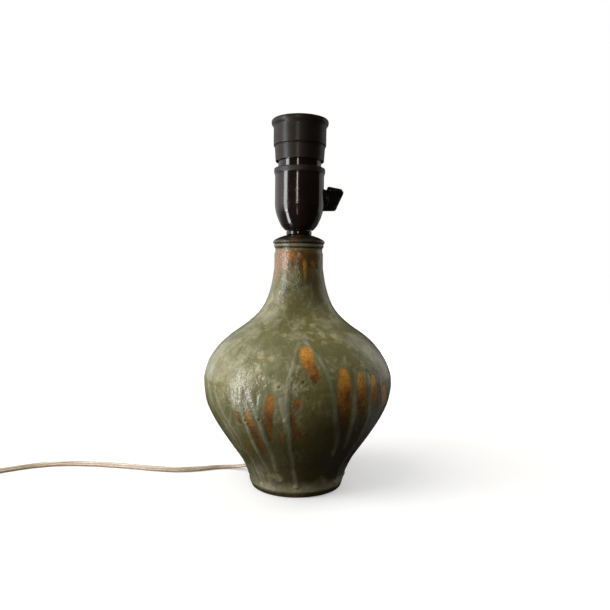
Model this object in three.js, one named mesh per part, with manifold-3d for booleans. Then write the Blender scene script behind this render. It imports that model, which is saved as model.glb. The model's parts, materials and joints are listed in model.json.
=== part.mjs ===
// A table lamp: a thrown stoneware base, and a moulded lampholder with a rotary switch.
// Lengths are in millimetres, Z is up, and the lamp stands on z = 0 with its axis on Z.
import * as THREE from "three";
import { mergeVertices } from "three/addons/utils/BufferGeometryUtils.js";
import Module from "manifold-3d";

const wasm = await Module();
wasm.setup();

// Clearances, and how round things are drawn
const seatGap = 0.3; // between pieces that touch
const runGap = 0.3; // round what turns or slides
const cutOverrun = 2; // how far a cutter passes the face that it cuts
const weldReach = 1e-4; // corners that are closer than this are one
const largeSides = 36;
const smallSides = 20;
const screwSides = 10;

// Stoneware base
const baseHeight = 215.5;
const footRadius = 39.4;
const bellyRadius = 80;
const bellyHeight = 92.2;
const neckRadius = 21.15;
const neckStart = 187.2; // where the shoulder's sweep ends in the straight neck
const baseWall = 5.5;
const neckWall = 5.4;
const footRecessRadius = 31;
const footRecessHeight = 12.2;
const baseFloor = 6;
const accessRadius = 20;
const crownThickness = 7.3;
const footChamfer = 0.8;

// The lid-like rim of the neck, measured down from the top of the stoneware
const rimRadius = 22.2;
const rimTop = 4.6;
const rimBottom = 6.9;
const beadRadius = 21.45;
const beadDrop = 8.5;
const grooveRadius = 20.4;
const grooveTop = 10.6;
const grooveBottom = 13.6;
const crownRadius = 12.4;
const lidEdgeShare = 0.65; // of the lid's height, where its edge turns into its slope
const lidSlopeShare = 0.36; // of the lid's height, half way in to the crown

// Cord, a flat twin flex, and the hole that it leaves by
const cordWidth = 5;
const cordThickness = 2.5;
const cordTurn = THREE.MathUtils.degToRad(152); // where the hole is, from +X
const cordHoleHeight = 7;
const bushRadius = 4.1;
const bushFlangeRadius = 5.2;
const bushFlangeThickness = 1.6;
const bushSeatRadius = 40.6; // the flat cut for the flange, from the axis
const bushInset = 0.6; // how far the sleeve stops short of the recess
const innerBendRadius = 21;
const riserShares = [0.35, 0.7, 1]; // of the rise from the bend to the lampholder
const cordStub = 5;
const cordFloorGap = 0.15; // under the flex where it lies flat
const rollShares = { from: 0.84, to: 0.97 }; // of the run, while it turns on its edge

// Nipple that ties the lampholder to the stoneware
const nippleRadius = 5;
const nippleBore = 4;
const nippleBelowNut = 2.6;
const clampWasherRadius = 12.5;
const clampWasherThickness = 1.5;
const clampNutWidth = 14;
const clampNutThickness = 5;
const collarRadius = 10.9;
const collarHeight = 3.9;
const collarRound = 0.7;

// Lampholder cap
const capHeight = 52.8;
const capRadius = 21.05;
const capFootRadius = 11.7;
const capRoundHeight = 21.2;
const capLipRadius = 21.95;
const capLipHeight = 2.9;
const capLipSlope = 2.2; // the height over which the wall widens to the lip
const capTopEdge = 0.8;
const capCavityRadius = 16.5;
const capNeckHeight = 9.2; // the solid foot round the nipple
const capSocketDepth = 12.2; // from the mouth down to the ledge
const grubRadius = 1.5;
const grubHeight = 4.6;
const grubTurn = THREE.MathUtils.degToRad(100);
const grubLength = 7;

// Mantle, and the two rings on its thread
const neckGap = 6; // what shows of the mantle's neck between cap and ring
const mantleRadius = 18.5;
const mantleThreadRadius = 19.7;
const mantleThreadHeight = 33.2;
const mantleBore = 16.4;
const mantleMouth = 14.4;
const mantleLip = 2.2;
const mantleTopChamfer = 0.8;
const lowerRingHeight = 12.8;
const lowerRingBottomRadius = 20.85;
const lowerRingTopRadius = 21.55;
const upperRingHeight = 22;
const upperRingRadius = 22.65;
const flangeRadius = 24.5;
const flangeHeight = 4.1;
const flangeFillet = 2.2;
const ringEdge = 0.7;
const flangeEdgeShares = [[0, 1], [0.4, 0.3], [1.2, 0]]; // [inwards, down], of ringEdge

// Insert: contact block, screw shell and contacts
const blockFlangeHeight = 2.2;
const blockHeight = 22.3;
const blockRadius = 16.1;
const shellBore = 12.2; // at the crests of its thread
const shellThreadDepth = 1.05;
const shellThreadPitch = 3.629;
const shellThreadTurns = 5;
const shellWall = 0.5;
const shellHeight = 26.2;
const shellFootHeight = 3;
const shellFlangeBore = 6.8;
const tongueWidth = 5;
const tongueThickness = 0.5;
const tongueReach = 6.3; // from the axis out to its fixed end
const tongueRise = 4.6;
const tongueTip = 3.2;
// Places along the tongue's middle line, as [from foot to axis, rise] and [axis to tip, rise].
const tongueFootShares = [[1, 0], [0.62, 0], [0.46, 0.1]];
const tongueTipShares = [[-0.3, 0.86], [0.15, 1], [0.55, 1], [1, 0.86]];
const insertScrewRadius = 1.2;
const insertScrewHeadRadius = 2.2;
const insertScrewHeadHeight = 1.4;
const insertScrewPlace = 9.3;
const terminalPlace = 10.3;
const terminalSize = 6;
const terminalHeight = 9.2;
const terminalScrewRadius = 1.2;
const terminalScrewHeadRadius = 2;
const terminalScrewHeadHeight = 1.6;
const terminalScrewShare = 0.7; // of the terminal's height
const screwHeadEdgeShare = 0.6; // of the head's height
const screwHeadTopShare = 0.8; // of the head's radius
const strapThickness = 0.8;
const strapWidth = 3.6;

// Rotary switch
const keyTurn = THREE.MathUtils.degToRad(30); // where its spindle points, from +X
const keyTilt = THREE.MathUtils.degToRad(42.5); // how far its wing leans to the front
const spindleRise = 29.2; // above the cap's foot
const spindleRadius = 2;
const spindleTail = 13.8;
const spindleCollarRadius = 3.3;
const spindleCollarWidth = 1.6;
const switchBushRadius = 3.9;
const switchBushFlangeRadius = 5.2;
const switchBushFlangeWidth = 1.4;
const bossRadius = 8.7;
const bossFace = 22.1; // from the lamp's axis
const framePlateThickness = 3;
const framePlateRadius = 15.6;
const cheekPlace = 10; // inner face, from the axis
const cheekThickness = 3;
const cheekWidth = 11;
const cheekDrop = 6.6; // below the spindle
const camWidth = 8;
const camRadius = 6;
const camFlatShare = 0.78;
const bladeThickness = 0.5;
const bladeWidth = 5;
const bladeDrop = 4.5;
const keyHubRadius = 8.4;
const keyHubWidth = 3.4;
const keyHubRound = 0.8;
const keyReach = 40.6; // outer edge of the wing, from the axis
const keyInnerWidth = 24.2;
const keyOuterWidth = 21.3;
const keyThickness = 5.6;
const keyRound = 1;
const keyBoreDepth = 9.5;

// Cores inside the lampholder
const coreRadius = 1.05;
const coreSides = 8;
const coreSpreadShare = 0.62; // of the way out to the terminals, where a core leans over

// Coil of spare cord, its tie and the plug
const coilCentre = new THREE.Vector3(-324, -24, 0);
const coilOuterRadius = 37.4; // middle of the outermost turn
const coilPitch = 4;
const coilTurns = 7.5;
const coilLayerGap = 0.5;
const coilStepsPerTurn = 24;
const coilClimbTurns = 0.5;
const tieThickness = 0.5;
const tieWidth = 4;
const tieTurn = THREE.MathUtils.degToRad(250);
const tieCornerRadius = 1.2;
const tailLength = 55;
const tailShares = { levelTo: 0.18, middle: 0.5, levelFrom: 0.82, rollFrom: 0.1, rollTo: 0.9 };
const plugLength = 34;
const plugWidth = 26;
const plugTailWidth = 13;
const plugThickness = 13.4;
const plugRound = 2;
const plugSideShares = { leave: 0.2, arrive: 0.35, full: 0.6 }; // of the plug's length
const reliefLength = 20;
const reliefRadius = 5;
const reliefTipRadius = 3.7;
const reliefTipShare = 0.1; // of its length, before it starts to widen
const reliefFlatShare = 0.8; // its height, of its width
const pinRadius = 2;
const pinLength = 19;
const pinSpacing = 18.6;
const pinSocketDepth = 4;

// Levels, worked out upwards
const floorTop = footRecessHeight + baseFloor;
const ceiling = baseHeight - crownThickness;
const collarBottom = baseHeight + seatGap;
const capBottom = collarBottom + collarHeight + seatGap;
const capTop = capBottom + capHeight;
const ledge = capTop - capSocketDepth;
const spindleHeight = capBottom + spindleRise;
const blockBottom = ledge + seatGap;
const blockTop = blockBottom + blockHeight;
const mantleBottom = blockBottom + blockFlangeHeight + seatGap;
const lowerRingBottom = capTop + neckGap;
const threadBottom = lowerRingBottom + seatGap;
const mantleTop = threadBottom + mantleThreadHeight;
const upperRingBottom = lowerRingBottom + lowerRingHeight + seatGap;
const shellBottom = blockTop + seatGap;
const framePlateTop = ledge;
const framePlateBottom = framePlateTop - framePlateThickness;
const washerTop = ceiling - seatGap;
const nutTop = washerTop - clampWasherThickness - seatGap;
const nippleBottom = nutTop - clampNutThickness - nippleBelowNut;
const nippleTop = capBottom + capNeckHeight;
const innerCordTop = nippleTop + cordThickness;
const bushFaceRadius = bushSeatRadius + seatGap + bushFlangeThickness;

const lamp = new THREE.Group();
lamp.name = "table_lamp";

// Tools for making solids

function merged(geometry) {
  geometry.deleteAttribute("normal");
  geometry.deleteAttribute("uv");
  return mergeVertices(geometry, weldReach);
}

function toSolid(geometry) {
  const plain = merged(geometry);
  const vertProperties = new Float32Array(plain.attributes.position.array);
  const triVerts = new Uint32Array(plain.index.array);
  const solid = new wasm.Manifold(new wasm.Mesh({ numProp: 3, vertProperties, triVerts }));
  return solid;
}

function toGeometry(solid) {
  const mesh = solid.getMesh();
  const geometry = new THREE.BufferGeometry();
  geometry.setAttribute("position", new THREE.BufferAttribute(mesh.vertProperties, 3));
  geometry.setIndex(new THREE.BufferAttribute(mesh.triVerts, 1));
  geometry.computeVertexNormals();
  return geometry;
}

function flipIfInsideOut(geometry) {
  const plain = merged(geometry);
  const place = plain.attributes.position;
  const index = plain.index.array;
  const [a, b, c] = [new THREE.Vector3(), new THREE.Vector3(), new THREE.Vector3()];
  let volume = 0;
  for (let i = 0; i < index.length; i += 3) {
    a.fromBufferAttribute(place, index[i]);
    b.fromBufferAttribute(place, index[i + 1]);
    c.fromBufferAttribute(place, index[i + 2]);
    volume += a.dot(b.cross(c));
  }
  if (volume < 0) {
    for (let i = 0; i < index.length; i += 3) {
      [index[i + 1], index[i + 2]] = [index[i + 2], index[i + 1]];
    }
  }
  plain.computeVertexNormals();
  return plain;
}

// Turns an outline of [radius, height] points round the Z axis.
function revolve(outline, sides) {
  const points = outline.map(([radius, height]) => new THREE.Vector2(radius, height));
  const geometry = new THREE.LatheGeometry(points, sides);
  geometry.rotateX(Math.PI / 2);
  return flipIfInsideOut(geometry);
}

// A round bar or tube on the Z axis, from one height to another.
function roundBar(radius, from, to, sides, bore = 0) {
  const outline = [[bore, from], [radius, from], [radius, to], [bore, to]];
  if (bore > 0) {
    outline.push([bore, from]);
  }
  return revolve(outline, sides);
}

function block(low, high) {
  const size = new THREE.Vector3().subVectors(high, low);
  const geometry = new THREE.BoxGeometry(size.x, size.y, size.z);
  geometry.translate((low.x + high.x) / 2, (low.y + high.y) / 2, (low.z + high.z) / 2);
  return geometry;
}

// Lays a geometry made along Z out along a level line from the lamp's axis.
function layOut(geometry, turn, height) {
  geometry.rotateY(Math.PI / 2);
  geometry.rotateZ(turn);
  geometry.translate(0, 0, height);
  return geometry;
}

function joined(first, ...others) {
  return others.reduce((whole, geometry) => whole.add(toSolid(geometry)), toSolid(first));
}

function cut(solid, ...cutters) {
  return cutters.reduce((rest, geometry) => rest.subtract(toSolid(geometry)), solid);
}

const paint = (color, roughness, metalness) => ({ color, roughness, metalness });
const finishes = {
  glaze: paint(0x6e6c48, 0.3, 0),
  bakelite: paint(0x231d19, 0.3, 0),
  porcelain: paint(0xe6e2d8, 0.45, 0),
  brass: paint(0xb08d4a, 0.35, 1),
  steel: paint(0xa8a8a4, 0.4, 1),
  clearFlex: paint(0xbda88c, 0.3, 0),
  rubber: paint(0x2b2926, 0.7, 0),
  plug: paint(0xe9e5da, 0.4, 0),
};

function addPiece(name, geometry, finish) {
  const mesh = new THREE.Mesh(geometry, new THREE.MeshStandardMaterial(finishes[finish]));
  mesh.name = name;
  lamp.add(mesh);
  return mesh;
}

// Stoneware base

// Shares of the way from foot to belly, as [height, radius], and then from belly to neck.
const lowerBodyShares = [
  [0.044, 0.025], [0.132, 0.078], [0.264, 0.222], [0.396, 0.427], [0.527, 0.625],
  [0.659, 0.801], [0.791, 0.938], [0.9, 0.987], [1, 1],
];
const upperBodyShares = [
  [0.063, 0.995], [0.18, 0.934], [0.305, 0.795], [0.4, 0.63], [0.495, 0.416],
  [0.59, 0.243], [0.7, 0.12], [0.84, 0.044], [1, 0],
];

function bodyCurve() {
  const points = [new THREE.Vector2(footRadius, footChamfer)];
  for (const [up, out] of lowerBodyShares) {
    const radius = THREE.MathUtils.lerp(footRadius, bellyRadius, out);
    points.push(new THREE.Vector2(radius, bellyHeight * up));
  }
  for (const [up, out] of upperBodyShares) {
    const radius = THREE.MathUtils.lerp(neckRadius, bellyRadius, out);
    points.push(new THREE.Vector2(radius, THREE.MathUtils.lerp(bellyHeight, neckStart, up)));
  }
  return new THREE.SplineCurve(points);
}

// The wall follows the outside, one wall's thickness in, from the floor up to the neck.
function innerWall(curve, steps) {
  const inside = [];
  const boreRadius = neckRadius - neckWall;
  for (let step = steps; step >= 0; step -= 1) {
    const share = step / steps;
    const point = curve.getPointAt(share);
    const along = curve.getTangentAt(share);
    const radius = point.x - along.y * baseWall;
    const height = point.y + along.x * baseWall;
    if (height > floorTop && height < neckStart && radius > boreRadius) {
      inside.push([radius, height]);
    }
  }
  return inside;
}

function stonewareBody() {
  const outerSteps = 26;
  const innerSteps = 13;
  const curve = bodyCurve();
  const outer = curve.getSpacedPoints(outerSteps).map((point) => [point.x, point.y]);
  const boreRadius = neckRadius - neckWall;
  const inner = innerWall(curve, innerSteps);
  const floorEdge = inner[inner.length - 1][0] - baseWall / 2;
  const outline = [
    [footRecessRadius + footChamfer, 0],
    [footRadius - footChamfer, 0],
    ...outer,
    [neckRadius, baseHeight - grooveBottom - (grooveBottom - grooveTop) / 2],
    [grooveRadius, baseHeight - grooveBottom],
    [grooveRadius, baseHeight - grooveTop],
    [beadRadius, baseHeight - beadDrop - (beadDrop - rimBottom) / 2],
    [beadRadius, baseHeight - beadDrop + (beadDrop - rimBottom) / 2],
    [(beadRadius + grooveRadius) / 2, baseHeight - rimBottom - footChamfer / 2],
    [rimRadius - footChamfer / 2, baseHeight - rimBottom],
    [rimRadius, baseHeight - (rimBottom + rimTop) / 2],
    [rimRadius - footChamfer / 2, baseHeight - rimTop],
    [rimRadius - footChamfer * 2, baseHeight - rimTop * lidEdgeShare],
    [(crownRadius + rimRadius) / 2, baseHeight - rimTop * lidSlopeShare],
    [crownRadius, baseHeight],
    [nippleRadius + runGap, baseHeight],
    [nippleRadius + runGap, ceiling],
    [boreRadius - footChamfer, ceiling],
    [boreRadius, ceiling - footChamfer],
    [boreRadius, neckStart],
    ...inner,
    [floorEdge, floorTop],
    [accessRadius, floorTop],
    [accessRadius, footRecessHeight],
    [footRecessRadius - footChamfer, footRecessHeight],
    [footRecessRadius, footRecessHeight - footChamfer],
    [footRecessRadius, footChamfer],
    [footRecessRadius + footChamfer, 0],
  ];
  const reach = footRadius * 2;
  const hole = roundBar(bushRadius + seatGap, footRecessRadius - cutOverrun * 2, reach, smallSides);
  const seat = roundBar(bushFlangeRadius + seatGap, bushSeatRadius, reach, smallSides);
  return toGeometry(cut(
    toSolid(revolve(outline, largeSides)),
    layOut(hole, cordTurn, cordHoleHeight),
    layOut(seat, cordTurn, cordHoleHeight),
  ));
}

// Flat section of the flex, its width along X: eight points, the corners taken off.
function flexOutline(grow = 0) {
  const half = cordWidth / 2 + grow;
  const thin = cordThickness / 2 + grow;
  const corner = cordThickness / 4;
  return [
    [half, -thin + corner], [half, thin - corner], [half - corner, thin], [corner - half, thin],
    [-half, thin - corner], [-half, corner - thin], [corner - half, -thin], [half - corner, -thin],
  ].map(([x, y]) => new THREE.Vector2(x, y));
}

function cordBush() {
  const face = new THREE.Shape();
  face.absarc(0, 0, bushRadius, 0, Math.PI * 2);
  face.holes.push(new THREE.Path(flexOutline(seatGap)));
  const flangeFace = new THREE.Shape();
  flangeFace.absarc(0, 0, bushFlangeRadius, 0, Math.PI * 2);
  flangeFace.holes.push(new THREE.Path(flexOutline(seatGap)));
  const start = footRecessRadius + bushInset;
  const sleeve = new THREE.ExtrudeGeometry(face, {
    depth: bushSeatRadius + seatGap + bushFlangeThickness / 2 - start,
    bevelEnabled: false,
    curveSegments: screwSides,
  });
  sleeve.translate(0, 0, start);
  const flange = new THREE.ExtrudeGeometry(flangeFace, {
    depth: bushFlangeThickness,
    bevelEnabled: false,
    curveSegments: screwSides,
  });
  flange.translate(0, 0, bushSeatRadius + seatGap);
  for (const piece of [sleeve, flange]) {
    piece.rotateZ(Math.PI / 2);
  }
  return layOut(toGeometry(joined(sleeve, flange)), cordTurn, cordHoleHeight);
}

function hexNut(acrossFlats, bore, bottom, thickness) {
  const corner = acrossFlats / Math.sqrt(3);
  const face = new THREE.Shape();
  for (let side = 0; side < 6; side += 1) {
    const angle = (side * Math.PI) / 3;
    const [x, y] = [corner * Math.cos(angle), corner * Math.sin(angle)];
    if (side === 0) {
      face.moveTo(x, y);
    } else {
      face.lineTo(x, y);
    }
  }
  face.closePath();
  const hole = new THREE.Path();
  hole.absarc(0, 0, bore, 0, Math.PI * 2, true);
  face.holes.push(hole);
  const geometry = new THREE.ExtrudeGeometry(face, {
    depth: thickness,
    bevelEnabled: false,
    curveSegments: smallSides / 2,
  });
  geometry.translate(0, 0, bottom);
  return flipIfInsideOut(geometry);
}

function collarRing() {
  const bore = nippleRadius + seatGap;
  const top = collarBottom + collarHeight;
  return revolve([
    [bore, collarBottom], [collarRadius - collarRound, collarBottom],
    [collarRadius, collarBottom + collarRound], [collarRadius, top - collarRound],
    [collarRadius - collarRound, top], [bore, top], [bore, collarBottom],
  ], smallSides);
}

// Lampholder

// Shares of the rounded foot of the cap, as [height, radius].
const capRoundShares = [[0, 0], [0.06, 0.15], [0.2, 0.415], [0.45, 0.685], [0.72, 0.893], [1, 1]];

function holderCap() {
  const roundSteps = 7;
  const round = new THREE.SplineCurve(capRoundShares.map(([up, out]) => new THREE.Vector2(
    THREE.MathUtils.lerp(capFootRadius, capRadius, out),
    capBottom + capRoundHeight * up,
  ))).getSpacedPoints(roundSteps).map((point) => [point.x, point.y]);
  const bore = nippleRadius + seatGap;
  const socketRadius = mantleRadius + seatGap;
  const lipBottom = capTop - capTopEdge - capLipHeight;
  const cavityFoot = capBottom + capNeckHeight;
  const cavityTaper = capRoundHeight - capNeckHeight;
  const outline = [
    ...round,
    [capRadius, lipBottom - capLipSlope],
    [capLipRadius, lipBottom],
    [capLipRadius, capTop - capTopEdge],
    [capLipRadius - capTopEdge, capTop],
    [socketRadius, capTop],
    [socketRadius, ledge],
    [capCavityRadius, ledge],
    [capCavityRadius, cavityFoot + cavityTaper],
    [capCavityRadius - cavityTaper / 3, cavityFoot],
    [bore, cavityFoot],
    [bore, capBottom],
    [capFootRadius, capBottom],
  ];
  const boss = roundBar(bossRadius, (capCavityRadius + capRadius) / 2, bossFace, smallSides);
  const spindleHole = roundBar(switchBushRadius + seatGap, 0, bossFace + cutOverrun, smallSides);
  const grubReach = capRadius + cutOverrun;
  const grubHole = roundBar(grubRadius + seatGap, 0, grubReach, screwSides);
  return toGeometry(cut(
    joined(revolve(outline, largeSides), layOut(boss, keyTurn, spindleHeight)),
    layOut(spindleHole, keyTurn, spindleHeight),
    layOut(grubHole, grubTurn, capBottom + grubHeight),
  ));
}

function holderMantle() {
  const mouthBottom = mantleTop - mantleLip;
  return revolve([
    [mantleBore, mantleBottom],
    [mantleRadius, mantleBottom],
    [mantleRadius, threadBottom],
    [mantleThreadRadius, threadBottom + mantleThreadRadius - mantleRadius],
    [mantleThreadRadius, mantleTop - mantleTopChamfer],
    [mantleThreadRadius - mantleTopChamfer, mantleTop],
    [mantleMouth + mantleTopChamfer, mantleTop],
    [mantleMouth, mantleTop - mantleTopChamfer],
    [mantleMouth, mouthBottom],
    [mantleBore, mouthBottom],
    [mantleBore, mantleBottom],
  ], largeSides);
}

function lowerShadeRing() {
  const bore = mantleThreadRadius + runGap;
  const top = lowerRingBottom + lowerRingHeight;
  const chamfer = (lowerRingBottomRadius - bore) / 3;
  return revolve([
    [bore, lowerRingBottom],
    [lowerRingBottomRadius - chamfer, lowerRingBottom],
    [lowerRingBottomRadius, lowerRingBottom + chamfer],
    [lowerRingTopRadius, top - ringEdge * 2],
    [lowerRingTopRadius + chamfer, top - ringEdge],
    [lowerRingTopRadius + chamfer, top],
    [bore, top],
    [bore, lowerRingBottom],
  ], largeSides);
}

function upperShadeRing() {
  const filletSteps = 3;
  const bore = mantleThreadRadius + runGap;
  const top = upperRingBottom + upperRingHeight;
  const flangeBottom = top - flangeHeight;
  const fillet = [];
  for (let step = 0; step <= filletSteps; step += 1) {
    const angle = (step / filletSteps) * (Math.PI / 2);
    const out = (flangeRadius - upperRingRadius - ringEdge / 2) * (1 - Math.cos(angle));
    fillet.push([upperRingRadius + out, flangeBottom - flangeFillet * (1 - Math.sin(angle))]);
  }
  return revolve([
    [bore, upperRingBottom],
    [upperRingRadius - ringEdge / 2, upperRingBottom],
    [upperRingRadius, upperRingBottom + ringEdge],
    ...fillet,
    [flangeRadius, flangeBottom + ringEdge],
    ...flangeEdgeShares.map(([inwards, down]) => (
      [flangeRadius - ringEdge * inwards, top - ringEdge * down]
    )),
    [bore + ringEdge, top],
    [bore, top - ringEdge],
    [bore, upperRingBottom],
  ], largeSides);
}

// The pockets and holes of the insert are set out in the switch's own directions:
// X along the spindle, Y across it.
function turnedWithSwitch(geometry) {
  geometry.rotateZ(keyTurn);
  return geometry;
}

const sideSigns = { far: 1, near: -1 };

function terminalBlock(sign) {
  const half = terminalSize / 2;
  const [inner, outer] = [terminalPlace - half, terminalPlace + half];
  const [low, high] = sign > 0 ? [inner, outer] : [-outer, -inner];
  const bottom = blockBottom + seatGap * 2;
  return {
    bottom,
    top: bottom + terminalHeight,
    low: new THREE.Vector3(-half, low, bottom),
    high: new THREE.Vector3(half, high, bottom + terminalHeight),
  };
}

function contactBlock() {
  const flangeRadius = mantleRadius;
  const body = revolve([
    [0, blockBottom], [flangeRadius, blockBottom],
    [flangeRadius, blockBottom + blockFlangeHeight],
    [blockRadius, blockBottom + blockFlangeHeight],
    [blockRadius, blockTop], [0, blockTop],
  ], largeSides);
  const cutters = [];
  for (const sign of Object.values(sideSigns)) {
    const { low, high, top } = terminalBlock(sign);
    const reach = sign * (flangeRadius + cutOverrun);
    const grown = new THREE.Vector3(seatGap, seatGap, 0);
    const pocketLow = low.clone().sub(grown).setZ(blockBottom - cutOverrun);
    const pocketHigh = high.clone().add(grown).setZ(top + seatGap);
    pocketLow.y = Math.min(pocketLow.y, reach);
    pocketHigh.y = Math.max(pocketHigh.y, reach);
    cutters.push(turnedWithSwitch(block(pocketLow, pocketHigh)));
  }
  const strapPlace = terminalPlace - terminalSize / 2 + strapThickness;
  cutters.push(turnedWithSwitch(block(
    new THREE.Vector3(-strapWidth / 2 - seatGap, strapPlace - seatGap, blockBottom),
    new THREE.Vector3(
      strapWidth / 2 + seatGap, strapPlace + strapThickness + seatGap, blockTop + cutOverrun,
    ),
  )));
  for (const sign of [1, -1]) {
    const hole = roundBar(
      insertScrewRadius + seatGap, blockBottom - cutOverrun, blockTop + cutOverrun, screwSides,
    );
    hole.translate(sign * insertScrewPlace, 0, 0);
    cutters.push(turnedWithSwitch(hole));
  }
  return toGeometry(cut(toSolid(body), ...cutters));
}

// The shell is one thin sheet: its thread is a rolled wave that climbs one pitch a turn,
// and the wave dies out towards the plain foot and the plain mouth.
function screwShell() {
  const rowsPerTurn = 4;
  const threadHeight = shellThreadTurns * shellThreadPitch;
  const rows = shellThreadTurns * rowsPerTurn;
  const threadBottomHeight = shellFootHeight;
  const meanRadius = shellBore + shellThreadDepth / 2;
  const waveAt = (height, angle) => {
    const share = THREE.MathUtils.clamp((height - threadBottomHeight) / threadHeight, 0, 1);
    const fade = Math.min(1, share * shellThreadTurns, (1 - share) * shellThreadTurns);
    const phase = ((height - threadBottomHeight) / shellThreadPitch) * Math.PI * 2 - angle;
    return (shellThreadDepth / 2) * fade * Math.cos(phase);
  };
  const heights = [];
  for (let row = 0; row <= rows; row += 1) {
    heights.push(threadBottomHeight + (row / rows) * threadHeight);
  }
  heights.push(shellHeight);
  // One closed outline a step: up the outside, down the inside, round the foot's flange.
  const outlineAt = (angle) => {
    const outside = heights.map((height) => [meanRadius + shellWall + waveAt(height, angle), height]);
    const inside = heights.map((height) => [meanRadius + waveAt(height, angle), height]);
    return [
      [shellFlangeBore, 0],
      [meanRadius + shellWall, 0],
      ...outside,
      ...inside.reverse(),
      [meanRadius, shellWall],
      [shellFlangeBore, shellWall],
    ];
  };
  const corner = outlineAt(0).length;
  const places = [];
  const triangles = [];
  for (let side = 0; side < smallSides; side += 1) {
    const angle = (side / smallSides) * Math.PI * 2;
    for (const [radius, height] of outlineAt(angle)) {
      places.push(radius * Math.cos(angle), radius * Math.sin(angle), shellBottom + height);
    }
    const next = (side + 1) % smallSides;
    for (let i = 0; i < corner; i += 1) {
      const j = (i + 1) % corner;
      const [a, b] = [side * corner + i, side * corner + j];
      const [c, d] = [next * corner + i, next * corner + j];
      triangles.push(a, c, d, a, d, b);
    }
  }
  const geometry = new THREE.BufferGeometry();
  geometry.setAttribute("position", new THREE.Float32BufferAttribute(places, 3));
  geometry.setIndex(triangles);
  const holes = [1, -1].map((sign) => {
    const hole = roundBar(
      insertScrewRadius + seatGap, shellBottom - cutOverrun, shellBottom + cutOverrun, screwSides,
    );
    hole.translate(sign * insertScrewPlace, 0, 0);
    return turnedWithSwitch(hole);
  });
  return toGeometry(cut(toSolid(flipIfInsideOut(geometry)), ...holes));
}

// A bent strip: its middle line runs through the points, in the XZ plane.
function bentStrip(line, thickness, width) {
  const half = thickness / 2;
  const sides = [[], []];
  line.forEach(([x, z], i) => {
    const [fromX, fromZ] = line[Math.max(0, i - 1)];
    const [toX, toZ] = line[Math.min(line.length - 1, i + 1)];
    const along = new THREE.Vector2(toX - fromX, toZ - fromZ).normalize();
    sides[0].push(new THREE.Vector2(x - along.y * half, z + along.x * half));
    sides[1].unshift(new THREE.Vector2(x + along.y * half, z - along.x * half));
  });
  const geometry = new THREE.ExtrudeGeometry(new THREE.Shape([...sides[0], ...sides[1]]), {
    depth: width,
    bevelEnabled: false,
  });
  geometry.translate(0, 0, -width / 2);
  geometry.rotateX(Math.PI / 2);
  return flipIfInsideOut(geometry);
}

function centreContact() {
  const foot = blockTop + seatGap + tongueThickness / 2;
  return turnedWithSwitch(bentStrip([
    ...tongueFootShares.map(([out, up]) => [-tongueReach * out, foot + tongueRise * up]),
    ...tongueTipShares.map(([out, up]) => [tongueTip * out, foot + tongueRise * up]),
  ], tongueThickness, tongueWidth).rotateZ(Math.PI / 2));
}

function terminal(sign) {
  const { low, high, bottom } = terminalBlock(sign);
  const wireHole = roundBar(
    coreRadius + seatGap, bottom - cutOverrun, bottom + terminalHeight / 2, screwSides,
  );
  wireHole.translate(0, sign * terminalPlace, 0);
  const screwHole = roundBar(
    terminalScrewRadius + seatGap, terminalPlace + coreRadius + seatGap,
    terminalPlace + terminalSize, screwSides,
  );
  layOut(screwHole, (sign * Math.PI) / 2, bottom + terminalHeight * terminalScrewShare);
  return turnedWithSwitch(toGeometry(cut(toSolid(block(low, high)), wireHole, screwHole)));
}

function screwSolid(radius, headRadius, length, headHeight) {
  return revolve([
    [0, 0], [radius, 0], [radius, length], [headRadius, length],
    [headRadius, length + headHeight * screwHeadEdgeShare],
    [headRadius * screwHeadTopShare, length + headHeight], [0, length + headHeight],
  ], screwSides);
}

function terminalScrew(sign) {
  const { bottom } = terminalBlock(sign);
  const screw = screwSolid(
    terminalScrewRadius, terminalScrewHeadRadius,
    terminalSize / 2 - coreRadius - seatGap, terminalScrewHeadHeight,
  );
  screw.translate(0, 0, terminalPlace + coreRadius + seatGap * 2);
  return turnedWithSwitch(
    layOut(screw, (sign * Math.PI) / 2, bottom + terminalHeight * terminalScrewShare),
  );
}

function insertScrew(sign) {
  const from = framePlateBottom + seatGap;
  const screw = screwSolid(
    insertScrewRadius, insertScrewHeadRadius,
    shellBottom + shellWall + seatGap - from, insertScrewHeadHeight,
  );
  screw.translate(sign * insertScrewPlace, 0, from);
  return turnedWithSwitch(screw);
}

function shellStrap() {
  const place = terminalPlace - terminalSize / 2 + strapThickness;
  const { top } = terminalBlock(sideSigns.far);
  return turnedWithSwitch(block(
    new THREE.Vector3(-strapWidth / 2, place, top + seatGap),
    new THREE.Vector3(strapWidth / 2, place + strapThickness, blockTop),
  ));
}

// Rotary switch, made along the spindle and then turned to face the way it points

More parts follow.
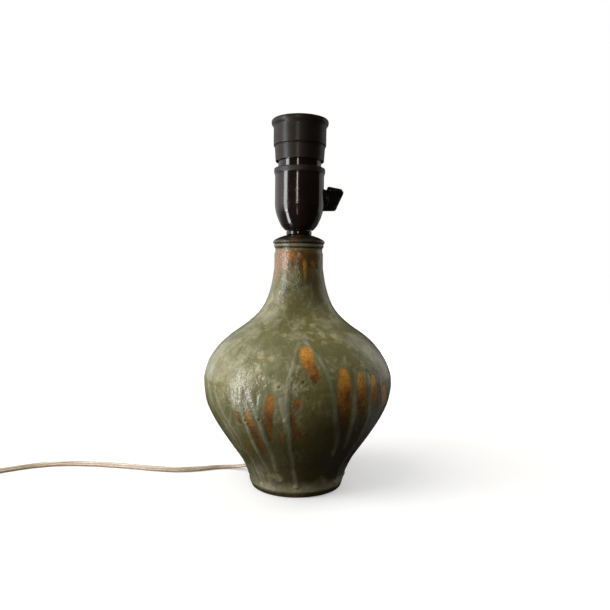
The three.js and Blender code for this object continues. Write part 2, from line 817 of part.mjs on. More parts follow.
function switchFrame() {
  const plate = roundBar(framePlateRadius, framePlateBottom, framePlateTop, largeSides / 2);
  const cheeks = [1, -1].map((sign) => {
    const [from, to] = [sign * cheekPlace, sign * (cheekPlace + cheekThickness)];
    return block(
      new THREE.Vector3(Math.min(from, to), -cheekWidth / 2, spindleHeight - cheekDrop),
      new THREE.Vector3(Math.max(from, to), cheekWidth / 2, framePlateBottom + seatGap),
    );
  });
  const bearing = roundBar(
    spindleRadius + runGap, -framePlateRadius, framePlateRadius, screwSides,
  );
  layOut(bearing, 0, spindleHeight);
  const notchHalf = coreRadius + seatGap * 2;
  const cutters = [bearing];
  for (const sign of Object.values(sideSigns)) {
    const [from, to] = [sign * (terminalPlace - notchHalf), sign * (framePlateRadius + cutOverrun)];
    cutters.push(block(
      new THREE.Vector3(-notchHalf, Math.min(from, to), framePlateBottom - cutOverrun),
      new THREE.Vector3(notchHalf, Math.max(from, to), framePlateTop + cutOverrun),
    ));
  }
  for (const sign of [1, -1]) {
    const hole = roundBar(
      insertScrewRadius + seatGap, framePlateBottom - cutOverrun, framePlateTop + cutOverrun,
      screwSides,
    );
    hole.translate(sign * insertScrewPlace, 0, 0);
    cutters.push(hole);
  }
  return turnedWithSwitch(toGeometry(cut(joined(plate, ...cheeks), ...cutters)));
}

function switchSpindle() {
  const collarOuter = cheekPlace - runGap;
  const collarInner = collarOuter - spindleCollarWidth;
  const end = bossFace + seatGap + keyBoreDepth - seatGap;
  return layOut(revolve([
    [0, -spindleTail], [spindleRadius, -spindleTail],
    [spindleRadius, collarInner], [spindleCollarRadius, collarInner],
    [spindleCollarRadius, collarOuter], [spindleRadius, collarOuter],
    [spindleRadius, end], [0, end],
  ], screwSides), keyTurn, spindleHeight);
}

function spindleBush() {
  const bore = spindleRadius + runGap;
  const inside = Math.sqrt(capCavityRadius ** 2 - switchBushFlangeRadius ** 2) - seatGap;
  const flangeStart = inside - switchBushFlangeWidth;
  return layOut(revolve([
    [bore, flangeStart], [switchBushFlangeRadius, flangeStart],
    [switchBushFlangeRadius, inside], [switchBushRadius, inside],
    [switchBushRadius, bossFace], [bore, bossFace], [bore, flangeStart],
  ], smallSides), keyTurn, spindleHeight);
}

// Four flats with rounded corners between them, on a round bore.
function switchCam() {
  const cornerSteps = 2;
  const face = new THREE.Shape();
  const half = Math.acos(camFlatShare);
  for (let corner = 0; corner < 4; corner += 1) {
    const middle = (corner * Math.PI) / 2 + Math.PI / 4;
    const spread = Math.PI / 4 - half;
    for (let step = 0; step <= cornerSteps; step += 1) {
      const angle = middle - spread + (2 * spread * step) / cornerSteps;
      const [x, y] = [camRadius * Math.cos(angle), camRadius * Math.sin(angle)];
      if (corner === 0 && step === 0) {
        face.moveTo(x, y);
      } else {
        face.lineTo(x, y);
      }
    }
  }
  face.closePath();
  const bore = new THREE.Path();
  bore.absarc(0, 0, spindleRadius + seatGap, 0, Math.PI * 2, true);
  face.holes.push(bore);
  const geometry = new THREE.ExtrudeGeometry(face, {
    depth: camWidth,
    bevelEnabled: false,
    curveSegments: screwSides / 2,
  });
  geometry.translate(0, 0, -camWidth / 2);
  return layOut(flipIfInsideOut(geometry), keyTurn, spindleHeight);
}

function switchBlade(sign) {
  const place = camRadius + runGap + bladeThickness / 2;
  const top = framePlateBottom - seatGap - bladeThickness / 2;
  const strip = bentStrip([
    [place, spindleHeight - bladeDrop],
    [place, top - bladeThickness],
    [place + bladeThickness, top],
    [terminalPlace - coreRadius - seatGap * 2, top],
  ], bladeThickness, bladeWidth);
  strip.rotateZ((sign * Math.PI) / 2);
  return turnedWithSwitch(strip);
}

function keyWing() {
  const inner = bossFace + seatGap + keyHubWidth - keyRound;
  const length = keyReach - inner - keyRound;
  const [wide, narrow] = [keyInnerWidth / 2 - keyRound, keyOuterWidth / 2 - keyRound];
  const corner = keyRound * 2;
  const face = new THREE.Shape();
  face.moveTo(0, -wide + corner);
  face.quadraticCurveTo(0, -wide, corner, -wide);
  face.lineTo(length - corner, -narrow);
  face.quadraticCurveTo(length, -narrow, length, -narrow + corner);
  face.lineTo(length, narrow - corner);
  face.quadraticCurveTo(length, narrow, length - corner, narrow);
  face.lineTo(corner, wide);
  face.quadraticCurveTo(0, wide, 0, wide - corner);
  face.closePath();
  const geometry = new THREE.ExtrudeGeometry(face, {
    depth: keyThickness - keyRound * 2,
    bevelThickness: keyRound,
    bevelSize: keyRound,
    bevelSegments: 2,
    curveSegments: 3,
  });
  geometry.translate(inner, 0, keyRound - keyThickness / 2);
  // Its width now runs along Y and its thickness along Z: stand it up on its edge.
  geometry.rotateX(Math.PI / 2 + keyTilt);
  return geometry;
}

function switchKey() {
  const start = bossFace + seatGap;
  const end = start + keyHubWidth;
  const hub = revolve([
    [0, start], [keyHubRadius - keyHubRound, start], [keyHubRadius, start + keyHubRound],
    [keyHubRadius, end - keyHubRound * 2], [keyHubRadius - keyHubRound, end - keyHubRound / 2],
    [keyHubRadius - keyHubRound * 2.4, end], [0, end],
  ], smallSides);
  hub.rotateY(Math.PI / 2);
  const bore = roundBar(spindleRadius + seatGap, start - cutOverrun, start + keyBoreDepth, screwSides);
  bore.rotateY(Math.PI / 2);
  const geometry = toGeometry(cut(joined(hub, keyWing()), bore));
  geometry.rotateZ(keyTurn);
  geometry.translate(0, 0, spindleHeight);
  return geometry;
}

// Cord

// A path that carries the flat flex: its wide side lies level, apart from a roll that the
// path gives, and where the path climbs, the wide side keeps to the direction given.
class FlexPath extends THREE.CatmullRomCurve3 {
  constructor(points, rollAt, side = null) {
    super(points, false, "centripetal");
    this.rollAt = rollAt;
    this.side = side;
  }

  computeFrenetFrames(segments) {
    const frames = { tangents: [], normals: [], binormals: [] };
    for (let step = 0; step <= segments; step += 1) {
      const share = step / segments;
      const tangent = this.getTangentAt(share);
      const side = this.side ?? new THREE.Vector3(-tangent.y, tangent.x, 0).normalize();
      const rise = new THREE.Vector3().crossVectors(tangent, side).normalize();
      const roll = this.rollAt(share);
      const normal = side.clone().multiplyScalar(Math.cos(roll)).addScaledVector(rise, Math.sin(roll));
      frames.tangents.push(tangent);
      frames.normals.push(normal);
      frames.binormals.push(new THREE.Vector3().crossVectors(tangent, normal).normalize());
    }
    return frames;
  }
}

function flexAlong(path, steps) {
  return flipIfInsideOut(new THREE.ExtrudeGeometry(new THREE.Shape(flexOutline()), {
    extrudePath: path,
    steps,
    bevelEnabled: false,
  }));
}

const outward = new THREE.Vector3(Math.cos(cordTurn), Math.sin(cordTurn), 0);

// From the bush under the floor, round one bend and up the middle into the lampholder.
function innerCord() {
  const bendSteps = 6;
  const bendTop = cordHoleHeight + innerBendRadius;
  const points = [];
  for (const radius of [bushFaceRadius, (bushFaceRadius + innerBendRadius) / 2]) {
    points.push(outward.clone().multiplyScalar(radius).setZ(cordHoleHeight));
  }
  for (let step = 0; step <= bendSteps; step += 1) {
    const angle = (step / bendSteps) * (Math.PI / 2);
    const radius = innerBendRadius * (1 - Math.sin(angle));
    const height = bendTop - innerBendRadius * Math.cos(angle);
    points.push(outward.clone().multiplyScalar(radius).setZ(height));
  }
  for (const share of riserShares) {
    points.push(new THREE.Vector3(0, 0, THREE.MathUtils.lerp(bendTop, innerCordTop, share)));
  }
  const side = new THREE.Vector3(-outward.y, outward.x, 0);
  const steps = 32;
  return flexAlong(new FlexPath(points, () => 0, side), steps);
}

function core(sign) {
  const side = new THREE.Vector3(outward.y, -outward.x, 0);
  const across = new THREE.Vector3(-Math.sin(keyTurn), Math.cos(keyTurn), 0);
  const start = side.clone().multiplyScalar(sign * (cordWidth / 4)).setZ(innerCordTop + seatGap);
  const spread = across.clone().multiplyScalar(sign * terminalPlace);
  const { bottom } = terminalBlock(sign);
  const path = new THREE.CatmullRomCurve3([
    start,
    start.clone().setZ(innerCordTop + coreRadius * 2),
    spread.clone().multiplyScalar(coreSpreadShare).setZ(innerCordTop + coreRadius * 5),
    spread.clone().setZ(spindleHeight - coreRadius * 2),
    spread.clone().setZ(framePlateBottom),
    spread.clone().setZ(bottom + terminalHeight / 2 - seatGap),
  ], false, "centripetal");
  const round = new THREE.Shape();
  round.absarc(0, 0, coreRadius, 0, Math.PI * 2);
  const steps = 14;
  return flipIfInsideOut(new THREE.ExtrudeGeometry(round, {
    extrudePath: path,
    steps,
    bevelEnabled: false,
    curveSegments: coreSides / 2,
  }));
}

// Heights of the middle of the flex where it lies flat, and on edge in the coil.
const lieHeight = cordThickness / 2 + cordFloorGap;
const coilBase = tieThickness + seatGap + cordWidth / 2;
const coilTopHeight = coilBase + cordWidth + coilLayerGap;
const coilStart = coilCentre.clone().add(new THREE.Vector3(coilOuterRadius, 0, coilBase));
const coilEnd = coilCentre.clone().add(new THREE.Vector3(-coilOuterRadius, 0, coilTopHeight));

// The free stretch, from the bush to the coil. The points between its ends are chosen
// by hand, as the cord lies, and the last ones lead into the coil's outermost turn.
const runPoints = [
  [-49.4, 26.3, 4.6],
  [-57, 29.9, 2.6],
  [-65.5, 31.7, 1.6],
  [-75, 30.2, lieHeight],
  [-85.5, 26, lieHeight],
  [-97, 22.3, lieHeight],
  [-112, 20.6, lieHeight],
  [-130, 22.8, lieHeight],
  [-153, 27.8, lieHeight],
  [-177, 32, lieHeight],
  [-200, 34.4, lieHeight],
  [-222, 33.7, lieHeight],
  [-240, 28.9, lieHeight],
  [-256, 20.5, lieHeight],
  [-268, 12, lieHeight],
  [-279, 3, (lieHeight + coilBase) / 2],
];

function cordRun() {
  const start = outward.clone().multiplyScalar(bushFaceRadius + seatGap).setZ(cordHoleHeight);
  const leadIn = [3, 2, 1].map((stubs) => (
    coilStart.clone().add(new THREE.Vector3(0, cordStub * stubs + seatGap, 0))
  ));
  const points = [
    start,
    start.clone().addScaledVector(outward, cordStub / 2),
    ...runPoints.map(([x, y, z]) => new THREE.Vector3(x, y, z)),
    ...leadIn,
  ];
  // It lies flat until it nears the coil, and is on edge when it meets it.
  const rollAt = (share) => {
    const turn = THREE.MathUtils.smoothstep(share, rollShares.from, rollShares.to);
    return (turn * Math.PI) / 2;
  };
  const steps = 42;
  return flexAlong(new FlexPath(points, rollAt), steps);
}

// The coil as [radius, angle, height] a share of the way through its turns. It runs
// clockwise: in along the lower layer, up where it turns back, out along the upper one.
function coilPlace(turn) {
  const middle = coilTurns / 2;
  const radius = coilOuterRadius - coilPitch * (middle - Math.abs(middle - turn));
  const climb = THREE.MathUtils.smoothstep(
    turn, middle - coilClimbTurns / 2, middle + coilClimbTurns / 2,
  );
  const angle = -turn * Math.PI * 2;
  return new THREE.Vector3(
    coilCentre.x + radius * Math.cos(angle),
    coilCentre.y + radius * Math.sin(angle),
    THREE.MathUtils.lerp(coilBase, coilTopHeight, climb),
  );
}

function coilLine() {
  const steps = coilTurns * coilStepsPerTurn;
  const line = [coilStart.clone().add(new THREE.Vector3(0, cordStub, 0))];
  for (let step = 0; step <= steps; step += 1) {
    line.push(coilPlace(step / coilStepsPerTurn));
  }
  line.push(coilEnd.clone().add(new THREE.Vector3(0, cordStub, 0)));
  return line;
}

// Least gap of the coil to itself, between turns that lie beside or on each other. The
// section on edge fits in a slot with round ends, so the gap is that of two such slots.
function leastCoilGap(line) {
  let least = Infinity;
  for (let i = 0; i < line.length; i += 1) {
    for (let j = i + coilStepsPerTurn / 2; j < line.length; j += 1) {
      const level = Math.hypot(line[i].x - line[j].x, line[i].y - line[j].y);
      const upright = Math.max(0, Math.abs(line[i].z - line[j].z) - (cordWidth - cordThickness));
      least = Math.min(least, Math.hypot(level, upright) - cordThickness);
    }
  }
  return least;
}

// Six points of the section on edge: its width stands up along Z.
function coilSection() {
  const half = cordWidth / 2;
  const thin = cordThickness / 2;
  const shoulder = half - thin;
  return [
    [0, half], [thin, shoulder], [thin, -shoulder],
    [0, -half], [-thin, -shoulder], [-thin, shoulder],
  ];
}

function cordCoil() {
  const line = coilLine();
  const section = coilSection();
  const count = section.length;
  const places = [];
  const triangles = [];
  line.forEach((point, i) => {
    const from = line[Math.max(0, i - 1)];
    const to = line[Math.min(line.length - 1, i + 1)];
    const along = new THREE.Vector2(to.x - from.x, to.y - from.y).normalize();
    if (i <= 1 || i >= line.length - 2) {
      along.set(0, i <= 1 ? -1 : 1);
    }
    for (const [out, up] of section) {
      places.push(point.x - along.y * out, point.y + along.x * out, point.z + up);
    }
    for (let k = 0; k < count && i < line.length - 1; k += 1) {
      const next = (k + 1) % count;
      const [a, b] = [i * count + k, i * count + next];
      const [c, d] = [a + count, b + count];
      triangles.push(a, b, d, a, d, c);
    }
  });
  const last = (line.length - 1) * count;
  for (let k = 1; k < count - 1; k += 1) {
    triangles.push(0, k + 1, k);
    triangles.push(last, last + k, last + k + 1);
  }
  const geometry = new THREE.BufferGeometry();
  geometry.setAttribute("position", new THREE.Float32BufferAttribute(places, 3));
  geometry.setIndex(triangles);
  console.log(`coil: least gap to itself ${leastCoilGap(line).toFixed(2)} mm`);
  return flipIfInsideOut(geometry);
}

// Where the plug's cord end is: the tail runs straight on from the coil to it.
const plugHeight = plugThickness / 2;
const tailEnd = new THREE.Vector3(coilEnd.x, coilEnd.y + cordStub + tailLength, plugHeight);

function cordTail() {
  const start = coilEnd.clone().add(new THREE.Vector3(0, cordStub + seatGap, 0));
  const bow = cordThickness;
  const between = (share, out, height) => new THREE.Vector3(
    THREE.MathUtils.lerp(start.x, tailEnd.x, share) + out,
    THREE.MathUtils.lerp(start.y, tailEnd.y, share),
    height,
  );
  const points = [
    start,
    between(tailShares.levelTo, 0, start.z),
    between(tailShares.middle, bow / 2, (start.z + tailEnd.z) / 2),
    between(tailShares.levelFrom, 0, tailEnd.z),
    tailEnd,
  ];
  const rollAt = (share) => {
    const turn = THREE.MathUtils.smoothstep(share, tailShares.rollFrom, tailShares.rollTo);
    return ((1 - turn) * Math.PI) / 2;
  };
  const steps = 16;
  return flexAlong(new FlexPath(points, rollAt), steps);
}

// A flat band round all the turns at one place: a rounded window, cut from a rounded outline.
function roundedRectangle(halfWidth, bottom, top, radius, target) {
  target.moveTo(-halfWidth + radius, bottom);
  target.lineTo(halfWidth - radius, bottom);
  target.quadraticCurveTo(halfWidth, bottom, halfWidth, bottom + radius);
  target.lineTo(halfWidth, top - radius);
  target.quadraticCurveTo(halfWidth, top, halfWidth - radius, top);
  target.lineTo(-halfWidth + radius, top);
  target.quadraticCurveTo(-halfWidth, top, -halfWidth, top - radius);
  target.lineTo(-halfWidth, bottom + radius);
  target.quadraticCurveTo(-halfWidth, bottom, -halfWidth + radius, bottom);
  return target;
}

function coilTie() {
  const innerRadius = coilOuterRadius - (coilPitch * coilTurns) / 2;
  const middle = (coilOuterRadius + innerRadius) / 2;
  const half = (coilOuterRadius - innerRadius) / 2 + cordThickness / 2 + seatGap * 2;
  const top = coilTopHeight + cordWidth / 2 + seatGap + tieThickness;
  const band = roundedRectangle(half + tieThickness, 0, top, tieCornerRadius, new THREE.Shape());
  band.holes.push(roundedRectangle(
    half, tieThickness, top - tieThickness, tieCornerRadius - tieThickness, new THREE.Path(),
  ));
  const geometry = new THREE.ExtrudeGeometry(band, {
    depth: tieWidth,
    bevelEnabled: false,
    curveSegments: 3,
  });
  geometry.translate(middle, 0, -tieWidth / 2);
  geometry.rotateX(Math.PI / 2);
  geometry.rotateZ(tieTurn);
  geometry.translate(coilCentre.x, coilCentre.y, 0);
  return flipIfInsideOut(geometry);
}

// Plug, made along Y from where the cord goes in

function plugRelief() {
  const tip = tailEnd.y + seatGap;
  const geometry = revolve([
    [0, 0], [reliefTipRadius, 0], [reliefTipRadius, reliefLength * reliefTipShare],
    [reliefRadius, reliefLength], [0, reliefLength],
  ], smallSides / 2);
  geometry.scale(1, reliefFlatShare, 1);
  geometry.rotateX(-Math.PI / 2);
  geometry.translate(tailEnd.x, tip, plugHeight);
  return geometry;
}

function plugBody() {
  const start = tailEnd.y + seatGap + reliefLength + seatGap;
  const [wide, narrow] = [plugWidth / 2 - plugRound, plugTailWidth / 2 - plugRound];
  const length = plugLength - plugRound * 2;
  const leave = length * plugSideShares.leave;
  const arrive = length * plugSideShares.arrive;
  const full = length * plugSideShares.full;
  const face = new THREE.Shape();
  face.moveTo(-narrow, 0);
  face.lineTo(narrow, 0);
  face.bezierCurveTo(wide, leave, wide, arrive, wide, full);
  face.lineTo(wide, length);
  face.lineTo(-wide, length);
  face.lineTo(-wide, full);
  face.bezierCurveTo(-wide, arrive, -wide, leave, -narrow, 0);
  const geometry = new THREE.ExtrudeGeometry(face, {
    depth: plugThickness - plugRound * 2,
    bevelThickness: plugRound,
    bevelSize: plugRound,
    bevelSegments: 2,
    curveSegments: 4,
  });
  geometry.translate(tailEnd.x, start + plugRound, plugRound);
  const holes = [1, -1].map((sign) => (
    pinBar(sign, pinRadius + seatGap, pinSocketDepth + seatGap, cutOverrun)
  ));
  return toGeometry(cut(toSolid(geometry), ...holes));
}

function pinBar(sign, radius, inside, outside) {
  const face = tailEnd.y + seatGap * 2 + reliefLength + plugLength;
  const bar = roundBar(radius, face - inside, face + outside, screwSides);
  bar.rotateX(-Math.PI / 2);
  bar.translate(tailEnd.x + (sign * pinSpacing) / 2, 0, plugHeight);
  return bar;
}

// The assembly

addPiece("stoneware_body", stonewareBody(), "glaze");
addPiece("cord_bush", cordBush(), "rubber");
addPiece("nipple", roundBar(nippleRadius, nippleBottom, nippleTop, smallSides, nippleBore), "steel");
addPiece(
  "clamp_washer",
  roundBar(
    clampWasherRadius, washerTop - clampWasherThickness, washerTop, smallSides,
    nippleRadius + seatGap,
  ),
  "steel",
);
addPiece(
  "clamp_nut",
  hexNut(clampNutWidth, nippleRadius + seatGap, nutTop - clampNutThickness, clampNutThickness),
  "steel",
);
addPiece("collar_ring", collarRing(), "bakelite");
addPiece("holder_cap", holderCap(), "bakelite");
addPiece(
  "grub_screw",
  layOut(
    roundBar(grubRadius, nippleRadius + seatGap, nippleRadius + seatGap + grubLength, screwSides),
    grubTurn, capBottom + grubHeight,
  ),
  "steel",
);
addPiece("holder_mantle", holderMantle(), "bakelite");
addPiece("shade_ring_lower", lowerShadeRing(), "bakelite");
addPiece("shade_ring_upper", upperShadeRing(), "bakelite");
addPiece("contact_block", contactBlock(), "porcelain");
addPiece("screw_shell", screwShell(), "brass");
addPiece("centre_contact", centreContact(), "brass");
addPiece("shell_strap", shellStrap(), "brass");
for (const [side, sign] of Object.entries(sideSigns)) {
  addPiece(`terminal_${side}`, terminal(sign), "brass");
  addPiece(`terminal_screw_${side}`, terminalScrew(sign), "steel");
  addPiece(`switch_blade_${side}`, switchBlade(sign), "brass");
  addPiece(`core_${side}`, core(sign), "clearFlex");
}
addPiece("insert_screw_inner", insertScrew(-1), "steel");
addPiece("insert_screw_outer", insertScrew(1), "steel");
addPiece("switch_frame", switchFrame(), "porcelain");
addPiece("switch_spindle", switchSpindle(), "steel");
addPiece("spindle_bush", spindleBush(), "brass");
addPiece("switch_cam", switchCam(), "bakelite");
addPiece("switch_key", switchKey(), "bakelite");
addPiece("inner_cord", innerCord(), "clearFlex");
addPiece("cord_run", cordRun(), "clearFlex");
addPiece("cord_coil", cordCoil(), "clearFlex");
addPiece("cord_tail", cordTail(), "clearFlex");
addPiece("coil_tie", coilTie(), "rubber");
addPiece("plug_relief", plugRelief(), "plug");
addPiece("plug_body", plugBody(), "plug");
addPiece("plug_pin_left", pinBar(-1, pinRadius, pinSocketDepth, pinLength), "brass");
addPiece("plug_pin_right", pinBar(1, pinRadius, pinSocketDepth, pinLength), "brass");

export default lamp;
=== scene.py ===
import json
import math
import random

import bpy
import numpy as np
from mathutils import Matrix, Vector, noise

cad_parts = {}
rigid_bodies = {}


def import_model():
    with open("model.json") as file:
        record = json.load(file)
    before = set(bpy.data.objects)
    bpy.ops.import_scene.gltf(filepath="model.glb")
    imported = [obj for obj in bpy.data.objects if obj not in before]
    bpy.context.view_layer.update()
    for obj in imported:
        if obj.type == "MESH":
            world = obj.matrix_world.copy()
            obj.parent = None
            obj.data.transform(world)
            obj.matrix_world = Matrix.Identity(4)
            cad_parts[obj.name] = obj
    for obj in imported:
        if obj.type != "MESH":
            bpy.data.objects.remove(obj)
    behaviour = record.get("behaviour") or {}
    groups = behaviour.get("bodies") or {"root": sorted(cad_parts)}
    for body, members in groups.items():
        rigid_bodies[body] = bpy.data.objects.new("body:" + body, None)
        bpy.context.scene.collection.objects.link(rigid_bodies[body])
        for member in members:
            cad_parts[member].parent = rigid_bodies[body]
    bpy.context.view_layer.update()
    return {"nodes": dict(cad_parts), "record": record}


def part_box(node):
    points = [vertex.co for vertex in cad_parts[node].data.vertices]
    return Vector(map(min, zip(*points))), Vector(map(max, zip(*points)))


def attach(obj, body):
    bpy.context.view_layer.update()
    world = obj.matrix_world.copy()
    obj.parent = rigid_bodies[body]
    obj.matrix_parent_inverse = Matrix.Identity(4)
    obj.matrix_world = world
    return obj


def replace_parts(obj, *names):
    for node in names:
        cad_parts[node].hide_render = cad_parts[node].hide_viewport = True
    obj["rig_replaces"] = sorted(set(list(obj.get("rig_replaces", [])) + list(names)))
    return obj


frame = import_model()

scene = bpy.context.scene
scene.view_settings.view_transform = "Standard"
perMetre = 1000.0  # the pieces are worked out in millimetres until they become a mesh


# Small tools

def boxOf(node):
    low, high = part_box(node)
    return low * perMetre, high * perMetre


def smooth(low, high, value):
    share = np.clip((np.asarray(value, float) - low) / (high - low), 0, 1)
    return share * share * (3 - 2 * share)


def turnFrom(middle, turn):
    # degrees from the middle, between -180 and 180
    return (turn - middle + 180) % 360 - 180


def lengthsAlong(line):
    return np.concatenate([[0], np.cumsum(np.linalg.norm(np.diff(line, axis=0), axis=1))])


def evenly(line, step):
    # the same line with its points at even steps
    along = lengthsAlong(line)
    wanted = np.linspace(0, along[-1], max(2, int(round(along[-1] / step)) + 1))
    return np.stack([np.interp(wanted, along, places) for places in line.T], axis=1)


def addObject(name, data):
    thing = bpy.data.objects.new(name, data)
    scene.collection.objects.link(thing)
    return thing


def meshFrom(name, points, faces):
    mesh = bpy.data.meshes.new(name)
    mesh.from_pydata((np.asarray(points, float) / perMetre).tolist(), [], faces)
    return mesh


def softShade(mesh, sharpAngle):
    # smooth shading, with edges over this angle kept sharp
    mesh.polygons.foreach_set("use_smooth", [True] * len(mesh.polygons))
    mesh.set_sharp_from_angle(angle=math.radians(sharpAngle))


def storeValues(mesh, name, values):
    # one number for each point, which a material reads by its name
    mesh.attributes.new(name, "FLOAT", "POINT").data.foreach_set("value", values)


def makePiece(name, points, faces, body, material, node, sharpAngle=38):
    mesh = meshFrom(name, points, faces)
    mesh.validate()
    softShade(mesh, sharpAngle)
    mesh.materials.append(material)
    piece = addObject(name, mesh)
    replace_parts(piece, *([node] if isinstance(node, str) else node))
    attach(piece, body)
    return piece


def gridFaces(rows, columns, wrapRows=True):
    # quads of a grid whose points are numbered row by row; each row is a closed ring
    row = np.arange(rows if wrapRows else rows - 1)
    row, column = np.meshgrid(row, np.arange(columns), indexing="ij")
    nextRow, nextColumn = (row + 1) % rows, (column + 1) % columns
    corners = [row * columns + column, nextRow * columns + column,
               nextRow * columns + nextColumn, row * columns + nextColumn]
    return np.stack([c.ravel() for c in corners], axis=1).tolist()


def tubeFaces(rows, columns):
    # a tube of rings with both ends closed
    last = (rows - 1) * columns
    ends = [list(range(columns)), list(range(last + columns - 1, last - 1, -1))]
    return gridFaces(rows, columns, wrapRows=False) + ends


def rounded(corners, steps=4):
    # takes [radius, height, rounding] corners of a closed outline and softens them
    mostShare = 0.49  # of an edge, so that two roundings never meet
    outline = []
    for i, (x, y, rounding) in enumerate(corners):
        here = Vector((x, y))
        if rounding <= 0:
            outline.append(tuple(here))
            continue
        back = Vector(corners[i - 1][:2]) - here
        ahead = Vector(corners[(i + 1) % len(corners)][:2]) - here
        start = here + back.normalized() * min(rounding, back.length * mostShare)
        end = here + ahead.normalized() * min(rounding, ahead.length * mostShare)
        for step in range(steps + 1):
            t = step / steps
            outline.append(tuple(start * (1 - t) ** 2 + here * 2 * t * (1 - t) + end * t * t))
    return outline


def turnedPoints(outline, sides, wave=None):
    # turns a closed outline about Z; wave adds to the radius, by angle and height
    outline = np.array(outline)
    angle = np.linspace(0, 2 * math.pi, sides, endpoint=False)[:, None]
    radius = np.repeat(outline[None, :, 0], sides, axis=0)
    height = np.repeat(outline[None, :, 1], sides, axis=0)
    if wave is not None:
        radius = radius + wave(angle, radius, height)
    return np.stack([radius * np.cos(angle), radius * np.sin(angle), height], axis=-1)


def turnedPiece(name, outline, sides, body, material, node, wave=None):
    points = turnedPoints(outline, sides, wave).reshape(-1, 3)
    return makePiece(name, points, gridFaces(sides, len(outline)), body, material, node)


def addCutter(points, faces):
    return addObject("cutter", meshFrom("cutter", points, faces))


def barPoints(radius, start, end, sides, turn, height):
    # a closed round bar that points outwards from the lamp's axis
    outward = Vector((math.cos(turn), math.sin(turn), 0))
    across = Vector((-math.sin(turn), math.cos(turn), 0))
    points = []
    for reach in (start, end):
        for side in range(sides):
            angle = 2 * math.pi * side / sides
            rim = across * math.cos(angle) + Vector((0, 0, 1)) * math.sin(angle)
            points.append(outward * reach + rim * radius + Vector((0, 0, height)))
    faces = [[i, (i + 1) % sides, sides + (i + 1) % sides, sides + i] for i in range(sides)]
    faces += [list(range(sides - 1, -1, -1)), list(range(sides, 2 * sides))]
    return points, faces


def combine(piece, other, operation):
    # joins or cuts another object into the piece, then removes it
    modifier = piece.modifiers.new("combine", "BOOLEAN")
    modifier.object = other
    modifier.operation = operation
    modifier.solver = "EXACT"
    bpy.context.view_layer.update()
    shaped = piece.evaluated_get(bpy.context.evaluated_depsgraph_get())
    mesh = bpy.data.meshes.new_from_object(shaped)
    piece.modifiers.clear()
    old = piece.data
    mesh.name = old.name
    piece.data = mesh
    bpy.data.meshes.remove(old)
    bpy.data.objects.remove(other)


# Camera

cameraView = {"place": (0.0059, -0.5, 0.1792), "lens": 33.93, "sensor": 36, "down": 2.69, "roll": 0.66}


def makeCamera(view):
    data = bpy.data.cameras.new("camera")
    data.lens = view["lens"]
    data.sensor_width = view["sensor"]
    camera = addObject("camera", data)
    tilt = Matrix.Rotation(math.radians(90 - view["down"]), 4, "X")
    roll = Matrix.Rotation(math.radians(view["roll"]), 4, "Z")
    camera.matrix_world = Matrix.Translation(view["place"]) @ tilt @ roll
    scene.camera = camera


makeCamera(cameraView)
print("camera in place")


# Shader tools

# places of the mix node's factor, first and second value, for colours and for numbers
colourSockets, colourResult = (0, 6, 7), 2
numberSockets, numberResult = (0, 2, 3), 0


def wire(tree, source, target):
    tree.links.new(source, target)


def feed(tree, value, socket):
    # wires an output to the socket, or sets a plain value on it
    if isinstance(value, bpy.types.NodeSocket):
        wire(tree, value, socket)
    else:
        socket.default_value = value


def colour(red, green, blue):
    # picture values from 0 to 255 as the linear colour that Blender mixes
    def linear(value):
        share = value / 255
        return share / 12.92 if share <= 0.04045 else ((share + 0.055) / 1.055) ** 2.4
    return (linear(red), linear(green), linear(blue), 1)


def mixColour(tree, factor, first, second):
    node = tree.nodes.new("ShaderNodeMix")
    node.data_type = "RGBA"
    for index, value in zip(colourSockets, (factor, first, second)):
        feed(tree, value, node.inputs[index])
    return node.outputs[colourResult]


def mathNode(tree, operation, first, second=0.0, clamp=False):
    node = tree.nodes.new("ShaderNodeMath")
    node.operation = operation
    node.use_clamp = clamp
    feed(tree, first, node.inputs[0])
    feed(tree, second, node.inputs[1])
    return node.outputs[0]


def product(tree, *values):
    result = values[0]
    for value in values[1:]:
        result = mathNode(tree, "MULTIPLY", result, value)
    return result


def plus(tree, first, second):
    return mathNode(tree, "ADD", first, second)


def centred(tree, value):
    # a noise about nought
    return mathNode(tree, "SUBTRACT", value, 0.5)


def ranged(tree, value, low, high, newLow=0.0, newHigh=1.0):
    node = tree.nodes.new("ShaderNodeMapRange")
    node.interpolation_type = "SMOOTHSTEP"
    wire(tree, value, node.inputs["Value"])
    for name, number in (("From Min", low), ("From Max", high), ("To Min", newLow), ("To Max", newHigh)):
        node.inputs[name].default_value = number
    return node.outputs["Result"]


def field(tree, name, output="Fac"):
    node = tree.nodes.new("ShaderNodeAttribute")
    node.attribute_name = name
    return node.outputs[output]


def noiseAt(tree, vector, scale, detail=3.0, roughness=0.55, distortion=0.0):
    node = tree.nodes.new("ShaderNodeTexNoise")
    for name, value in (("Vector", vector), ("Scale", scale), ("Detail", detail),
                        ("Roughness", roughness), ("Distortion", distortion)):
        feed(tree, value, node.inputs[name])
    return node.outputs["Fac"]


def stretched(tree, vector, scale, rotation=(0, 0, 0)):
    node = tree.nodes.new("ShaderNodeMapping")
    node.inputs["Rotation"].default_value = rotation
    node.inputs["Scale"].default_value = scale
    wire(tree, vector, node.inputs["Vector"])
    return node.outputs["Vector"]


def place(tree):
    return tree.nodes.new("ShaderNodeTexCoord").outputs["Object"]


def newMaterial(name, **values):
    material = bpy.data.materials.new(name)
    material.use_nodes = True
    tree = material.node_tree
    shader = tree.nodes["Principled BSDF"]
    for socket, value in values.items():
        shader.inputs[socket.replace("_", " ")].default_value = value
    return material, tree, shader


